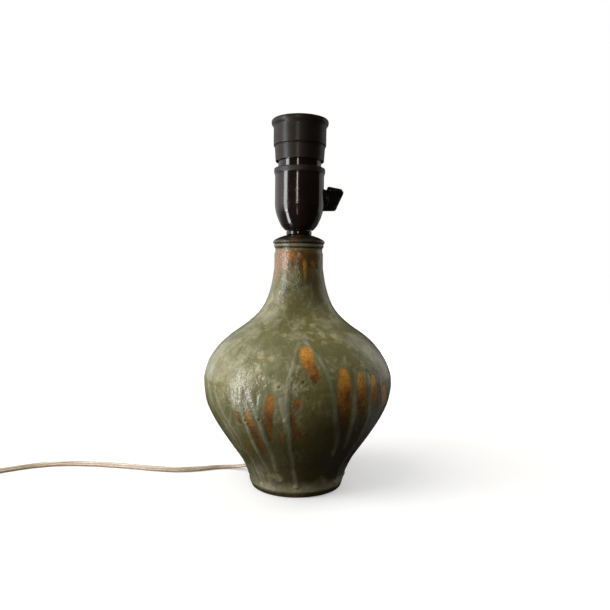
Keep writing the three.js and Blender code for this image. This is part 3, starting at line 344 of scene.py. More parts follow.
def bumpInto(tree, shader, height, distance, strength, coat=False):
    bump = tree.nodes.new("ShaderNodeBump")
    bump.inputs["Strength"].default_value = strength
    bump.inputs["Distance"].default_value = distance
    wire(tree, height, bump.inputs["Height"])
    wire(tree, bump.outputs["Normal"], shader.inputs["Normal"])
    if coat:
        wire(tree, bump.outputs["Normal"], shader.inputs["Coat Normal"])


def newGroup(name, inputs, outputs):
    group = bpy.data.node_groups.new(name, "ShaderNodeTree")
    for label, value in inputs.items():
        kind = "NodeSocketColor" if isinstance(value, tuple) else "NodeSocketFloat"
        socket = group.interface.new_socket(name=label, in_out="INPUT", socket_type=kind)
        socket.default_value = value
    for label, kind in outputs.items():
        group.interface.new_socket(name=label, in_out="OUTPUT", socket_type=kind)
    return group, group.nodes.new("NodeGroupInput").outputs, group.nodes.new("NodeGroupOutput").inputs


def useGroup(tree, group, **values):
    node = tree.nodes.new("ShaderNodeGroup")
    node.node_tree = group
    for name, value in values.items():
        feed(tree, value, node.inputs[name.replace("_", " ")])
    return node.outputs


def mottleGroup():
    # soft cloudy change of a colour, and a fine grain height
    group, given, result = newGroup(
        "mottle",
        {"Colour": (0.5, 0.5, 0.5, 1), "Other colour": (0.4, 0.4, 0.4, 1), "Cloud scale": 60.0,
         "Grain scale": 900.0, "Amount": 0.5},
        {"Colour": "NodeSocketColor", "Height": "NodeSocketFloat"})
    coordinates = place(group)
    cloud = noiseAt(group, coordinates, given["Cloud scale"], 4, 0.5)
    grain = noiseAt(group, coordinates, given["Grain scale"], 4, 0.5)
    share = product(group, ranged(group, cloud, 0.35, 0.68), given["Amount"])
    wire(group, mixColour(group, share, given["Colour"], given["Other colour"]), result["Colour"])
    wire(group, grain, result["Height"])
    return group


def handlingGroup():
    # fine scratches and dull fingered patches, as a change of roughness
    group, given, result = newGroup(
        "handling",
        {"Roughness": 0.3, "Patch amount": 0.12, "Scratch amount": 0.1, "Scratch scale": 140.0},
        {"Roughness": "NodeSocketFloat"})
    coordinates = place(group)
    patch = ranged(group, noiseAt(group, coordinates, 90, 4), 0.42, 0.66)
    lengthwise = stretched(group, coordinates, (1, 1, 0.06), (0.4, 0.9, 0.3))
    lines = noiseAt(group, lengthwise, given["Scratch scale"], 6, 0.5)
    scratches = ranged(group, lines, 0.62, 0.7)
    dulled = plus(group, given["Roughness"], product(group, patch, given["Patch amount"]))
    scored = product(group, scratches, given["Scratch amount"])
    wire(group, mathNode(group, "ADD", dulled, scored, clamp=True), result["Roughness"])
    return group


mottle = mottleGroup()
handling = handlingGroup()


def plainFinish(name, main, other, roughness, cloudScale=60.0, grainScale=900.0, amount=0.5,
                grain=0.00002, patch=0.12, scratch=0.1, mattBy=0.0, **values):
    material, tree, shader = newMaterial(name, **values)
    if mattBy:
        roughness = plus(tree, product(tree, field(tree, "matt"), mattBy), roughness)
    look = useGroup(tree, mottle, Colour=main, Other_colour=other, Cloud_scale=cloudScale,
                    Grain_scale=grainScale, Amount=amount)
    wear = useGroup(tree, handling, Roughness=roughness, Patch_amount=patch, Scratch_amount=scratch)
    wire(tree, look["Colour"], shader.inputs["Base Color"])
    wire(tree, wear["Roughness"], shader.inputs["Roughness"])
    bumpInto(tree, shader, look["Height"], grain, 0.5)
    return material


bakeliteGloss = plainFinish(
    "bakelite_polished", colour(24, 17, 15), colour(32, 22, 17), 0.1, cloudScale=45,
    grain=0.00001, patch=0.06, scratch=0.06, mattBy=0.36, IOR=1.6)
bakeliteSatin = plainFinish(
    "bakelite_satin", colour(28, 20, 17), colour(35, 25, 20), 0.5, cloudScale=70,
    grain=0.00002, patch=0.14, scratch=0.08,
    Specular_IOR_Level=0.28, Coat_Weight=0.3, Coat_Roughness=0.25)
brassSheet = plainFinish(
    "brass_sheet", colour(196, 158, 88), colour(160, 122, 62), 0.26, cloudScale=120,
    grain=0.00002, Metallic=1.0)
zincSteel = plainFinish(
    "zinc_steel", colour(176, 176, 172), colour(140, 140, 136), 0.3, cloudScale=150,
    grain=0.00002, Metallic=1.0)
porcelainWhite = plainFinish(
    "porcelain", colour(228, 223, 210), colour(214, 206, 190), 0.35, cloudScale=90,
    grain=0.00003)
blackRubber = plainFinish(
    "black_rubber", colour(40, 38, 36), colour(52, 50, 47), 0.6, cloudScale=200,
    grainScale=2500, grain=0.00004)
ivoryPlastic = plainFinish(
    "ivory_plastic", colour(226, 220, 204), colour(212, 203, 182), 0.32, cloudScale=80,
    grainScale=2200, grain=0.00002)
print("plain finishes made")


# Cord: one flat twin flex from the foot to the plug

flex = {
    "width": 5.0, "thickness": 2.5, "web": 1.1, "sectionPoints": 28, "step": 2.2,
    "holeTurn": 152.0, "holeHeight": 7.0, "exitReach": 42.8, "stub": 5.0, "gap": 0.3,
    "floorGap": 0.15, "lean": 34.0, "leanFrom": 0.08, "leanTo": 0.26, "rollFrom": 0.84, "rollTo": 0.97,
    "coilCentre": (-324.0, -24.0), "coilRadius": 37.4, "coilPitch": 4.0, "coilTurns": 7.5,
    "coilStepsPerTurn": 48, "coilClimbTurns": 0.5, "layerGap": 0.5, "tieThickness": 0.5,
    "tailLength": 55.0, "tailRoll": (0.1, 0.9), "plugHeight": 6.7,
}
flex["lie"] = flex["thickness"] / 2 + flex["floorGap"]
flex["coilBase"] = flex["tieThickness"] + flex["gap"] + flex["width"] / 2
flex["coilTop"] = flex["coilBase"] + flex["width"] + flex["layerGap"]
# the points between the foot and the coil: it comes down, lies, and climbs to the coil
lyingPlaces = [(-75, 30.2), (-85.5, 26), (-97, 22.3), (-112, 20.6), (-130, 22.8), (-153, 27.8),
               (-177, 32), (-200, 34.4), (-222, 33.7), (-240, 28.9), (-256, 20.5), (-268, 12)]
runPlaces = [(-49.4, 26.3, 4.6), (-57, 29.9, 2.6), (-65.5, 31.7, 1.6),
             *[(x, y, flex["lie"]) for x, y in lyingPlaces],
             (-279, 3, (flex["lie"] + flex["coilBase"]) / 2)]


def centripetalLine(places, perSpan=24):
    # the curve through the points, as drawn in the solid model
    places = [Vector(p) for p in places]
    ends = [places[0] * 2 - places[1], *places, places[-1] * 2 - places[-2]]
    line = []
    for i in range(len(places) - 1):
        a, b, c, d = ends[i:i + 4]
        ab, bc, cd = ((q - p).length ** 0.5 for p, q in ((a, b), (b, c), (c, d)))
        leave = ((b - a) / ab - (c - a) / (ab + bc) + (c - b) / bc) * bc
        arrive = ((c - b) / bc - (d - b) / (bc + cd) + (d - c) / cd) * bc
        for step in range(perSpan):
            t = step / perSpan
            line.append(b * (2 * t ** 3 - 3 * t ** 2 + 1) + leave * (t ** 3 - 2 * t ** 2 + t)
                        + c * (3 * t ** 2 - 2 * t ** 3) + arrive * (t ** 3 - t ** 2))
    line.append(places[-1])
    return np.array(line)


def coilLine(cord):
    # inwards in the lower layer, then outwards in the upper one
    middle = cord["coilTurns"] / 2
    steps = int(cord["coilTurns"] * cord["coilStepsPerTurn"])
    line = []
    for step in range(steps + 1):
        turn = step / cord["coilStepsPerTurn"]
        radius = cord["coilRadius"] - cord["coilPitch"] * (middle - abs(middle - turn))
        half = cord["coilClimbTurns"] / 2
        climb = float(smooth(middle - half, middle + half, turn))
        angle = -turn * 2 * math.pi
        line.append((cord["coilCentre"][0] + radius * math.cos(angle),
                     cord["coilCentre"][1] + radius * math.sin(angle),
                     cord["coilBase"] + (cord["coilTop"] - cord["coilBase"]) * climb))
    return np.array(line)


def flexRoute(cord):
    turn = math.radians(cord["holeTurn"])
    outward = Vector((math.cos(turn), math.sin(turn), 0))
    start = outward * cord["exitReach"] + Vector((0, 0, cord["holeHeight"]))
    coil = coilLine(cord)
    leadIn = [Vector(coil[0]) + Vector((0, cord["stub"] * k + cord["gap"], 0)) for k in (3, 2, 1)]
    run = centripetalLine([start, start + outward * (cord["stub"] / 2), *runPlaces, *leadIn])
    tailStart = Vector(coil[-1]) + Vector((0, cord["stub"] + cord["gap"], 0))
    tailEnd = Vector((coil[-1][0], coil[-1][1] + cord["stub"] + cord["tailLength"], cord["plugHeight"]))

    def between(share, out, height):
        spot = tailStart.lerp(tailEnd, share)
        return Vector((spot.x + out, spot.y, height))

    tail = centripetalLine([
        tailStart, between(0.18, 0, tailStart.z),
        between(0.5, cord["thickness"] / 2, (tailStart.z + tailEnd.z) / 2),
        between(0.82, 0, tailEnd.z), tailEnd])
    run, tail = evenly(run, cord["step"]), evenly(tail, cord["step"])
    line = np.concatenate([run, coil, tail])
    share = lengthsAlong(run) / lengthsAlong(run)[-1]
    tailShare = lengthsAlong(tail) / lengthsAlong(tail)[-1]
    # the lying flex leans on one core, and turns on edge for the coil
    onEdge = math.pi / 2
    lean = smooth(cord["leanFrom"], cord["leanTo"], share) * math.radians(cord["lean"])
    edgewise = smooth(cord["rollFrom"], cord["rollTo"], share)
    roll = -np.concatenate([lean + (onEdge - lean) * edgewise, np.full(len(coil), onEdge),
                            (1 - smooth(*cord["tailRoll"], tailShare)) * onEdge])
    lobeOffset = (cord["width"] - cord["thickness"]) / 2
    line[:, 2] = np.maximum(line[:, 2], cord["lie"] + lobeOffset * np.abs(np.sin(roll)))
    return line, roll


def flexSection(cord):
    # two round cores side by side with a thin web between them
    half, core = cord["width"] / 2, cord["thickness"] / 2
    section = []
    for i in range(cord["sectionPoints"]):
        angle = 2 * math.pi * i / cord["sectionPoints"]
        across = half * math.cos(angle)
        lobe = math.sqrt(max(0.0, core ** 2 - (abs(across) - (half - core)) ** 2))
        up = max(lobe, cord["web"] / 2) if abs(across) < half - core else lobe
        side = math.sin(angle)
        section.append((across, math.copysign(up, side) if abs(side) > 1e-6 else 0.0))
    return section


flexLook = {
    "copperDark": (98, 68, 50), "copper": (198, 160, 128), "tinnedDark": (122, 112, 99),
    "tinned": (242, 234, 220), "sheath": (226, 214, 192), "stained": (196, 176, 150),
    "web": (132, 112, 90), "sheathShare": 0.22, "webShare": 0.75,
    "strandsAlong": 170.0, "strandsAcross": 6.0, "strandHeight": 0.00005,
}


def flexMaterial(look):
    # clear sheath over two bundles of fine strands, one copper and one tinned
    material, tree, shader = newMaterial(
        "clear_flex", Roughness=0.35, Coat_Weight=1.0, Coat_Roughness=0.12, IOR=1.5)
    tint = {name: colour(*value) for name, value in look.items() if isinstance(value, tuple)}
    along, across, lobe = (field(tree, name) for name in ("along", "across", "lobe"))
    lay = plus(tree, product(tree, along, look["strandsAlong"]),
               product(tree, across, look["strandsAcross"]))
    strands = plus(tree, product(tree, mathNode(tree, "SINE", lay), 0.5), 0.5)
    stain = ranged(tree, noiseAt(tree, place(tree), 300, 2), 0.3, 0.75)
    copper = mixColour(tree, strands, tint["copperDark"], tint["copper"])
    tinned = mixColour(tree, strands, tint["tinnedDark"], tint["tinned"])
    metal = mixColour(tree, ranged(tree, lobe, -0.15, 0.15), tinned, copper)
    sheath = mixColour(tree, look["sheathShare"], metal, tint["sheath"])
    nearWeb = ranged(tree, mathNode(tree, "ABSOLUTE", lobe), 0.0, 0.22, look["webShare"], 0.0)
    clear = mixColour(tree, nearWeb, mixColour(tree, stain, sheath, tint["stained"]), tint["web"])
    wire(tree, clear, shader.inputs["Base Color"])
    bumpInto(tree, shader, strands, look["strandHeight"], 0.35)
    return material


clearFlex = flexMaterial(flexLook)


def makeFlex(cord):
    line, roll = flexRoute(cord)
    section = flexSection(cord)
    ahead = np.gradient(line, axis=0)
    points, alongs, acrosses, lobes = [], [], [], []
    travelled = lengthsAlong(line)
    for spot, tangent, turn, length in zip(line, ahead, roll, travelled):
        tangent = Vector(tangent).normalized()
        side = Vector((-tangent.y, tangent.x, 0)).normalized()
        rise = tangent.cross(side).normalized()
        wide = side * math.cos(turn) + rise * math.sin(turn)
        thin = tangent.cross(wide).normalized()
        for k, (x, y) in enumerate(section):
            points.append(Vector(spot) + wide * x + thin * y)
            alongs.append(length / perMetre)
            acrosses.append(2 * math.pi * k / len(section))
            lobes.append(x / (cord["width"] / 2))
    piece = makePiece("flex", points, tubeFaces(len(line), len(section)), "lamp",
                      clearFlex, ("cord_run", "cord_coil", "cord_tail"))
    for name, values in (("along", alongs), ("across", acrosses), ("lobe", lobes)):
        storeValues(piece.data, name, values)
    return piece, line


flexPiece, flexPath = makeFlex(flex)


# Stoneware base: its outline, then the glaze's runs, rust streaks, craters and drops

clay = {
    "height": 215.5, "footRadius": 39.4, "bellyRadius": 80.0, "bellyHeight": 92.2,
    "neckRadius": 21.15, "neckStart": 187.2, "chamfer": 0.8, "wall": 5.5, "neckWall": 5.4,
    "recessRadius": 31.0, "recessHeight": 12.2, "floor": 6.0, "accessRadius": 20.0, "crown": 7.3,
    "footDrop": 0.22, "insideEdge": 0.6, "recessEdge": 1.5, "boreRadius": 5.3,
    "columns": 540, "spacing": 0.85, "footSpacing": 1.6, "rimSpacing": 0.45, "insideSpacing": 5.0,
    "holeRadius": 4.4, "seatRadius": 5.5, "seatReach": 40.6, "holeStart": 27.0, "holeEnd": 60.0,
    "holeSides": 40,
}
# shares of the height and of the swell, from the foot to the belly and from there to the neck
lowerShares = [(0.044, 0.025), (0.132, 0.078), (0.264, 0.222), (0.396, 0.427), (0.527, 0.625),
               (0.659, 0.801), (0.791, 0.938), (0.9, 0.987), (1, 1)]
upperShares = [(0.063, 0.995), (0.18, 0.934), (0.305, 0.795), (0.4, 0.63), (0.495, 0.416),
               (0.59, 0.243), (0.7, 0.12), (0.84, 0.044), (1, 0)]
# the rim, as [radius, millimetres below the top]
rimPlaces = [
    (21.15, 16.4), (21.0, 15.2), (20.4, 13.9), (20.34, 12.2), (20.5, 10.9), (21.2, 9.9),
    (21.5, 9.0), (21.46, 8.0), (21.1, 7.35), (21.0, 7.05), (21.9, 6.85), (22.22, 6.3),
    (22.26, 5.5), (22.0, 4.75), (21.4, 4.1), (20.4, 3.35), (17.6, 1.85), (14.4, 0.65), (12.9, 0.1),
    (12.0, 0.0), (9.0, 0.0),
]


def uniformSpline(points, perSpan=20):
    points = [np.array(p, float) for p in points]
    line = []
    for i in range(len(points) - 1):
        a = points[max(0, i - 1)]
        b, c = points[i], points[i + 1]
        d = points[min(len(points) - 1, i + 2)]
        for step in range(perSpan):
            t = step / perSpan
            line.append(0.5 * (2 * b + (c - a) * t + (2 * a - 5 * b + 4 * c - d) * t ** 2
                               + (3 * b - a - 3 * c + d) * t ** 3))
    line.append(points[-1])
    return np.array(line)


def clayOutline(base):
    # the outer line from the foot's inner edge up to the rim, and the inside line back down
    places = [(base["footRadius"], base["chamfer"])]
    for up, out in lowerShares:
        reach = base["footRadius"] + (base["bellyRadius"] - base["footRadius"]) * out
        places.append((reach, base["bellyHeight"] * up))
    for up, out in upperShares:
        reach = base["neckRadius"] + (base["bellyRadius"] - base["neckRadius"]) * out
        places.append((reach, base["bellyHeight"] + (base["neckStart"] - base["bellyHeight"]) * up))
    curve = uniformSpline(places)
    foot = evenly(np.array([(base["recessRadius"] + base["chamfer"], 0.0),
                            (base["footRadius"] - base["chamfer"], 0.0),
                            (base["footRadius"] - base["chamfer"] * 0.3, base["footDrop"])]),
                  base["footSpacing"])
    neckTop = (base["neckRadius"], base["height"] - rimPlaces[0][1])
    neck = evenly(np.array([curve[-1], neckTop]), base["spacing"])
    rimCurve = uniformSpline([(r, base["height"] - down) for r, down in rimPlaces])
    rim = evenly(rimCurve, base["rimSpacing"])
    outer = np.concatenate([foot, evenly(curve, base["spacing"]), neck[1:-1], rim])
    wall = []
    along = np.gradient(curve, axis=0)
    along /= np.linalg.norm(along, axis=1)[:, None]
    bore = base["neckRadius"] - base["neckWall"]
    floorTop = base["recessHeight"] + base["floor"]
    for (r, z), (tr, tz) in zip(curve[::-1], along[::-1]):
        inner = (r - tz * base["wall"], z + tr * base["wall"])
        if floorTop < inner[1] < base["neckStart"] and inner[0] > bore:
            wall.append(inner)
    wall = evenly(np.array(wall), base["insideSpacing"])
    ceiling = base["height"] - base["crown"]
    edge, corner = base["insideEdge"], base["recessEdge"]
    inside = [
        (base["boreRadius"], base["height"]), (base["boreRadius"], ceiling),
        (bore - base["chamfer"], ceiling), (bore, ceiling - base["chamfer"]),
        *[(bore, z) for z in np.linspace(ceiling - 4, base["neckStart"], 4)], *map(tuple, wall),
        (wall[-1][0] - base["wall"] / 2, floorTop), (base["accessRadius"] + edge, floorTop),
        (base["accessRadius"], floorTop - edge), (base["accessRadius"], base["recessHeight"] + edge),
        (base["accessRadius"] + edge, base["recessHeight"]),
        (base["recessRadius"] - corner, base["recessHeight"]),
        (base["recessRadius"], base["recessHeight"] - corner), (base["recessRadius"], base["chamfer"]),
    ]
    return outer, np.array(inside)


# Trails of glaze run from top to bottom as [height, turn, half width]. The turn is in degrees
# from the front, and grows towards the side of the switch key. Rust also has the tones at its
# top and foot, from gold at 0 to umber at 1.
rustTrails = [
    (-0.05, 1.0, [(123.4, 6, 5.4), (117.5, 6.6, 5.6), (111.5, 8.8, 5.0), (105.5, 10.6, 4.3),
                  (103, 10.4, 2.2)]),
    (-0.08, 1.0, [(107.5, 27.6, 4.4), (100, 27.2, 6.2), (86, 27.3, 6.1), (73.5, 28, 5.2),
                  (61, 30.6, 3.8), (51, 32.5, 1.6)]),
    (-0.22, 1.0, [(105, 38.8, 2.8), (95, 38.6, 5.0), (84, 39.2, 5.2), (71.5, 41, 3.6), (60, 43, 1.6)]),
    (-0.5, 1.0, [(101.6, 49.6, 2.6), (91.5, 50.2, 4.8), (81.5, 52, 5.0), (69.5, 56, 3.0)]),
    (-0.45, 1.0, [(91.5, 62, 3.4), (82, 63.6, 5.6), (71.5, 67.4, 4.6), (57, 72, 1.8)]),
    (0.26, 0.72, [(90.4, -13.5, 3.2), (81.2, -14.5, 3.9), (67.2, -15.5, 3.6), (56.2, -16.5, 2.6)]),
    (0.3, 0.68, [(76.6, -28.5, 2.4), (65.2, -26.5, 3.8), (53.2, -25.6, 3.8), (40.2, -25, 2.4)]),
    (0.5, 1.0, [(74.2, -35.4, 2.3), (67.4, -34.6, 1.9)]),
    (0.5, 0.72, [(49.2, -37, 1.9), (40.2, -38, 1.6)]),
    (0.45, 0.7, [(87.4, 1.2, 3.0), (83.2, 0.6, 2.5)]),
    (0.5, 0.74, [(76.4, -1.4, 2.0), (67.2, -0.8, 2.2), (59.2, 2.2, 3.5)]),
    (0.6, 0.78, [(58.7, 3, 2.9), (59.7, 7, 2.5)]),
    (0.45, 0.72, [(64.2, -8.6, 1.4), (55.2, -8.6, 1.7)]),
    (0.45, 1.0, [(105.7, 1, 1.2), (104.2, 1.6, 1.1)]),
    (0.45, 1.0, [(103.2, 13, 1.2), (102.6, 13.8, 1.1)]),
    (0.5, 1.0, [(95.2, -62, 1.1), (92.2, -61, 1.3)]),
    (0.6, 1.0, [(19.2, 4, 1.0), (15.2, 4.4, 0.9)]),
]
runTrails = [
    [(129.2, 2, 1.6), (119.2, -1, 1.1), (108.2, -3, 1.2), (99.2, -4.6, 1.6), (87.2, -5.2, 1.9),
     (75.2, -5, 1.6), (64.2, -4, 1.4), (46.2, -3, 1.2), (26.2, -1.6, 1.3), (11.2, 1, 2.1)],
    [(130.2, 6, 1.5), (124.2, 11, 1.2), (117.2, 14.6, 1.2), (109.2, 17.4, 1.4), (99.2, 19.6, 1.5),
     (89.2, 21, 1.7), (74.2, 22.8, 1.9), (63.2, 25.4, 2.0), (50.2, 28.6, 1.6), (39.2, 30, 0.9)],
    [(109.2, 35.2, 1.2), (97.2, 34.6, 1.9), (87.2, 34.2, 2.0), (70.2, 34.4, 1.9), (57.2, 36.4, 1.5),
     (45.2, 38, 0.8)],
    [(104.2, 45, 1.1), (93.2, 44.6, 1.4), (83.2, 45.4, 1.5), (67.2, 48, 1.3), (53.2, 49.5, 0.8)],
    [(98.2, 56.4, 1.0), (89.2, 57.6, 1.3), (82.2, 59.8, 1.3), (70.2, 62.8, 1.2), (51.2, 66, 0.8)],
    [(67.2, 47.5, 0.9), (49.2, 48.6, 1.3), (39.2, 49.4, 1.5), (25.2, 52, 1.8), (9.2, 53, 1.8)],
    [(105.2, -57, 2.6), (93.2, -55, 2.2), (82.2, -52.6, 1.6), (66.2, -46.4, 1.9), (57.2, -43.6, 1.7),
     (39.2, -42.2, 1.4), (22.2, -42.8, 1.3), (7.2, -43, 2.3)],
    [(91.2, -38, 2.2), (81.2, -37, 1.8), (73.2, -40.4, 1.4), (66.2, -43.6, 1.2)],
    [(99.2, -66, 2.0), (80.2, -60.4, 1.4), (67.2, -53.4, 1.2), (55.2, -48.4, 1.3), (39.2, -44.6, 1.0)],
    [(93.2, -32, 2.6), (82.2, -32.6, 1.8), (70.2, -31, 1.5), (55.2, -30, 1.4), (42.2, -30, 1.4),
     (31.2, -29, 1.2), (20.2, -27.6, 1.4)],
    [(93.2, -26, 2.0), (85.2, -24, 1.6), (68.2, -21, 1.6), (56.2, -19.8, 1.5), (40.2, -18.2, 1.5),
     (25.2, -18.2, 2.0)],
    [(91.2, -19.5, 1.5), (83.2, -20.4, 1.3), (77.2, -21.2, 0.7)],
    [(89.2, -8, 1.6), (81.2, -7, 1.6), (73.2, -6, 1.3), (61.2, -5.4, 0.7)],
    [(98.2, 74, 1.6), (81.2, 76, 1.8), (61.2, 79, 1.4), (31.2, 82, 1.5), (9.2, 83, 2.0)],
    [(61.2, -70, 1.2), (41.2, -66, 1.4), (9.2, -63, 1.9)],
]
# drops and blobs of thick glaze as [height, turn, radius, rise]
drops = [
    (10.2, 0.8, 2.2, 0.9), (7.6, -43.2, 2.4, 0.9), (15.2, -22.5, 6.2, 0.75), (17.2, -20, 2.4, 0.5),
    (98.2, -9.2, 3.6, 0.35), (104.2, -2, 1.5, 0.55), (104.2, -18, 1.5, 0.5), (73.2, -6, 1.3, 0.45),
    (32.7, -0.6, 1.1, 0.4), (84.7, -40, 1.6, 0.4), (83.6, -33.4, 1.7, 0.5), (93.2, -46, 1.4, 0.3),
    (136.2, -19, 1.9, 0.4), (134.2, -11, 1.9, 0.2), (141.2, 16, 2.6, 0.25), (133.2, 33, 2.8, 0.22),
    (135.2, 22, 1.9, 0.3), (128.2, 56, 2.0, 0.4), (150.2, 60, 1.9, 0.4), (108.2, 53, 1.8, 0.4),
    (128.2, 3, 1.2, 0.3), (9.2, 53, 2.4, 0.8), (9.2, 83, 2.4, 0.8), (13.2, 28, 5.0, 0.5),
    (142.2, -37, 2.2, 0.25), (137.2, -44, 1.8, 0.25), (129.2, -52, 2.0, 0.25), (121.2, -24, 2.6, 0.2),
    (118.2, -16, 2.2, 0.15), (110.2, -22, 2.6, 0.12),
]
# soft grey-green clouds in the glaze, and large pale patches on the lit left side and at the left of the
# foot that are painted sheen, as [height, turn, radius, share]
cloudsAndPaintedSheen = [
    (134, 4, 7, 0.6), (140, 0, 5, 0.7), (147, -3, 4, 0.4), (128, 7, 4, 0.6), (121, -60, 42, 0.95),
    (134, -52, 16, 0.9), (116, -18, 14, 0.35), (95, -14, 20, 0.4), (15, -46, 17, 0.95),
    (12, -10, 14, 0.4), (146, -48, 20, 0.8), (100, -84, 46, 0.8), (92, -34, 22, 0.55),
    (124, 58, 22, 1.0), (108, 70, 16, 0.8), (138, 42, 15, 0.7), (60, -52, 18, 0.35), (16, -36, 12, 0.6),
    (118, 120, 26, 0.6), (132, 175, 22, 0.6), (110, 220, 30, 0.6),
]
# craters and pinholes as [height, turn, radius, depth]
craters = [
    (98.2, -9.2, 0.85, 0.9), (135.2, 22, 0.55, 0.6), (128.2, 56, 0.6, 0.7), (150.2, 60, 0.5, 0.6),
    (108.2, 53, 0.5, 0.6), (136.2, -19, 0.45, 0.4), (102.2, 4, 0.75, 0.7), (72.2, -21, 0.7, 0.7),
    (128.2, 3, 0.45, 0.5), (69.7, -30.5, 0.8, 0.6), (10.8, 0.2, 0.6, 0.7), (15.2, -23.4, 0.5, 0.5),
    (85.8, -33, 0.5, 0.5), (105.2, 20, 0.4, 0.4), (89.2, 13, 0.4, 0.4), (113.2, 44, 0.45, 0.4),
    (119.2, -29, 0.4, 0.4), (96.2, -30, 0.5, 0.5), (81.2, -41, 0.5, 0.5),
]
# lower edge of the rust under the rim, as [turn, height]
neckRustEdge = [
    (-180, 194.2), (-165, 186.2), (-150, 196.2), (-132, 183.2), (-118, 193.2), (-100, 197.2), (-88, 174),
    (-72, 176), (-60, 180), (-50, 185), (-40, 186), (-31, 184), (-24, 186.5), (-17, 191), (-8, 192.5),
    (0, 191.5), (7, 188), (12, 181.5), (16, 182), (22, 188), (28, 188), (33, 183.5), (39, 186),
    (46, 190), (50, 193), (55, 203.6), (67, 203), (71, 190), (78, 184.2), (92, 191.2), (108, 198.2),
    (122, 187.2), (138, 194.2), (152, 182.2), (166, 191.2), (180, 194.2),
]
# tone of that rust round the neck, from gold at 0 to umber at 1, as [turn, tone]
neckTones = [
    (-180, 0.4), (-120, 0.5), (-90, 0.35), (-64, 0.2), (-30, 0.28), (-20, 0.55), (0, 0.68), (8, 0.72),
    (12.5, 0.05), (16.5, 0.1), (22, 0.7), (27, 0.74), (31, 0.3), (40, 0.3), (46, 0.78), (52, 0.8),
    (60, 0.7), (75, 0.4), (100, 0.5), (140, 0.3), (180, 0.4),
]
# how far the neck and shoulder turn browner and darker, partly the glaze's own tone and partly painted
# shade, round the base, as [turn, share]
neckBrownShade = [(-180, 0.5), (-120, 0.3), (-90, 0), (-46, 0.1), (-26, 0.7), (-8, 0.9), (10, 0.9), (42, 0.8),
            (58, 0.5), (80, 0.25), (112, 0.5), (150, 0.2), (180, 0.5)]
# how dark the painted shade on the lower half is, round the base, as [turn, share]
lowShade = [(-180, 0.5), (-100, 0.2), (-70, 0.3), (-40, 0.48), (-12, 0.75), (10, 1.0), (60, 1.0),
            (90, 0.7), (130, 0.4), (180, 0.5)]
# paleness of the rim's bands, as [millimetres below the top, paleness]; the dark top and the dark lines in
# the grooves are painted shade
rimShades = [
    (0, 0.0), (2.5, 0.0), (4.2, 0.06), (5.4, 0.22), (6.3, 0.1), (6.9, 0.0), (7.25, 0.05), (7.7, 0.62),
    (8.6, 0.95), (9.6, 0.8), (10.3, 0.1), (11.1, 0.05), (11.7, 0.7), (12.8, 0.85), (13.6, 0.6),
    (14.4, 0.5),
]


# the sides that the front view doesn't show
hidden = {"seed": 7, "firstTurn": 90.0, "lastTurn": 284, "rustShare": 0.68, "pitsPerGap": 3}


def hiddenTrails(sides):
    # runs, rust, drops and pits in the same manner as at the front
    draw = random.Random(sides["seed"])
    runs, rusts, blobs, pits = [], [], [], []
    turn = sides["firstTurn"]
    while turn < sides["lastTurn"]:
        top, foot = draw.uniform(92, 126), draw.choice([8, 8, 10, 30, 44])
        width, lean = draw.uniform(1.1, 1.9), draw.uniform(-3, 3)
        heights = np.linspace(top, foot, 7)
        runs.append([(float(h), turn + lean * k / 6 + draw.uniform(-0.8, 0.8),
                      width * draw.uniform(0.75, 1.2)) for k, h in enumerate(heights)])
        if foot < 12:
            blobs.append((foot - 1.5, turn + lean, draw.uniform(1.8, 2.6), draw.uniform(0.6, 0.9)))
        gap = draw.uniform(8, 14)
        if draw.random() < sides["rustShare"]:
            start, span = draw.uniform(82, 112), draw.uniform(16, 46)
            wide = draw.uniform(2.0, 4.6)
            middle = turn + gap / 2 + draw.uniform(-1, 1)
            rusts.append((draw.uniform(0, 0.5), 1.0, [
                (start, middle, wide * 0.8), (start - span * 0.3, middle + 0.5, wide),
                (start - span * 0.7, middle + 1.2, wide * 0.85),
                (start - span, middle + 1.8, wide * 0.35)]))
        for _ in range(sides["pitsPerGap"]):
            pits.append((draw.uniform(60, 150), turn + draw.uniform(-6, 6), draw.uniform(0.4, 0.7),
                         draw.uniform(0.4, 0.7)))
        turn += gap
    return runs, rusts, blobs, pits


# Pairs are heights, turns or distances at which an effect starts and is full.
marks = {
    "offTrail": -8.0, "deepening": 1.2, "leastFall": 34,
    "neckFade": 0.14, "neckLead": 0.4, "neckTop": 203.4, "neckTopFade": 1.4,
    "neckDeepFrom": 197, "neckDeepOver": 60, "neckDeepMost": 0.3,
    "burnt": 0.65, "burntHeight": (191, 197), "burntLeft": (4, 12), "burntRight": (70, 52),
    "ringRise": 0.35, "ringPale": 0.8,
    "bare": (0.5, -0.5), "bareHeight": 3.1, "bareUneven": 1.5, "bareFine": 0.8,
    "rim": (13.2, 12.3), "rimUneven": 0.25, "duskFoot": (136, 170), "duskTop": (205, 200),
    "duskUneven": 14, "shade": (98, 46), "shadeUneven": 16,
    "rustSheenLeft": (-100, -72), "rustSheenRight": (-18, -33), "flowReach": 0.06,
}
# the same for drops, clouds (some of them painted sheen) and pits, in shares of the spot's radius
spotEdges = {
    "bulge": (1.25, 0), "halo": (1.5, 0.6), "cloud": (1.3, 0.2), "pit": (1.7, 0.5),
    "ringInside": (1.5, 2.4), "ringOutside": (4.2, 2.6),
}


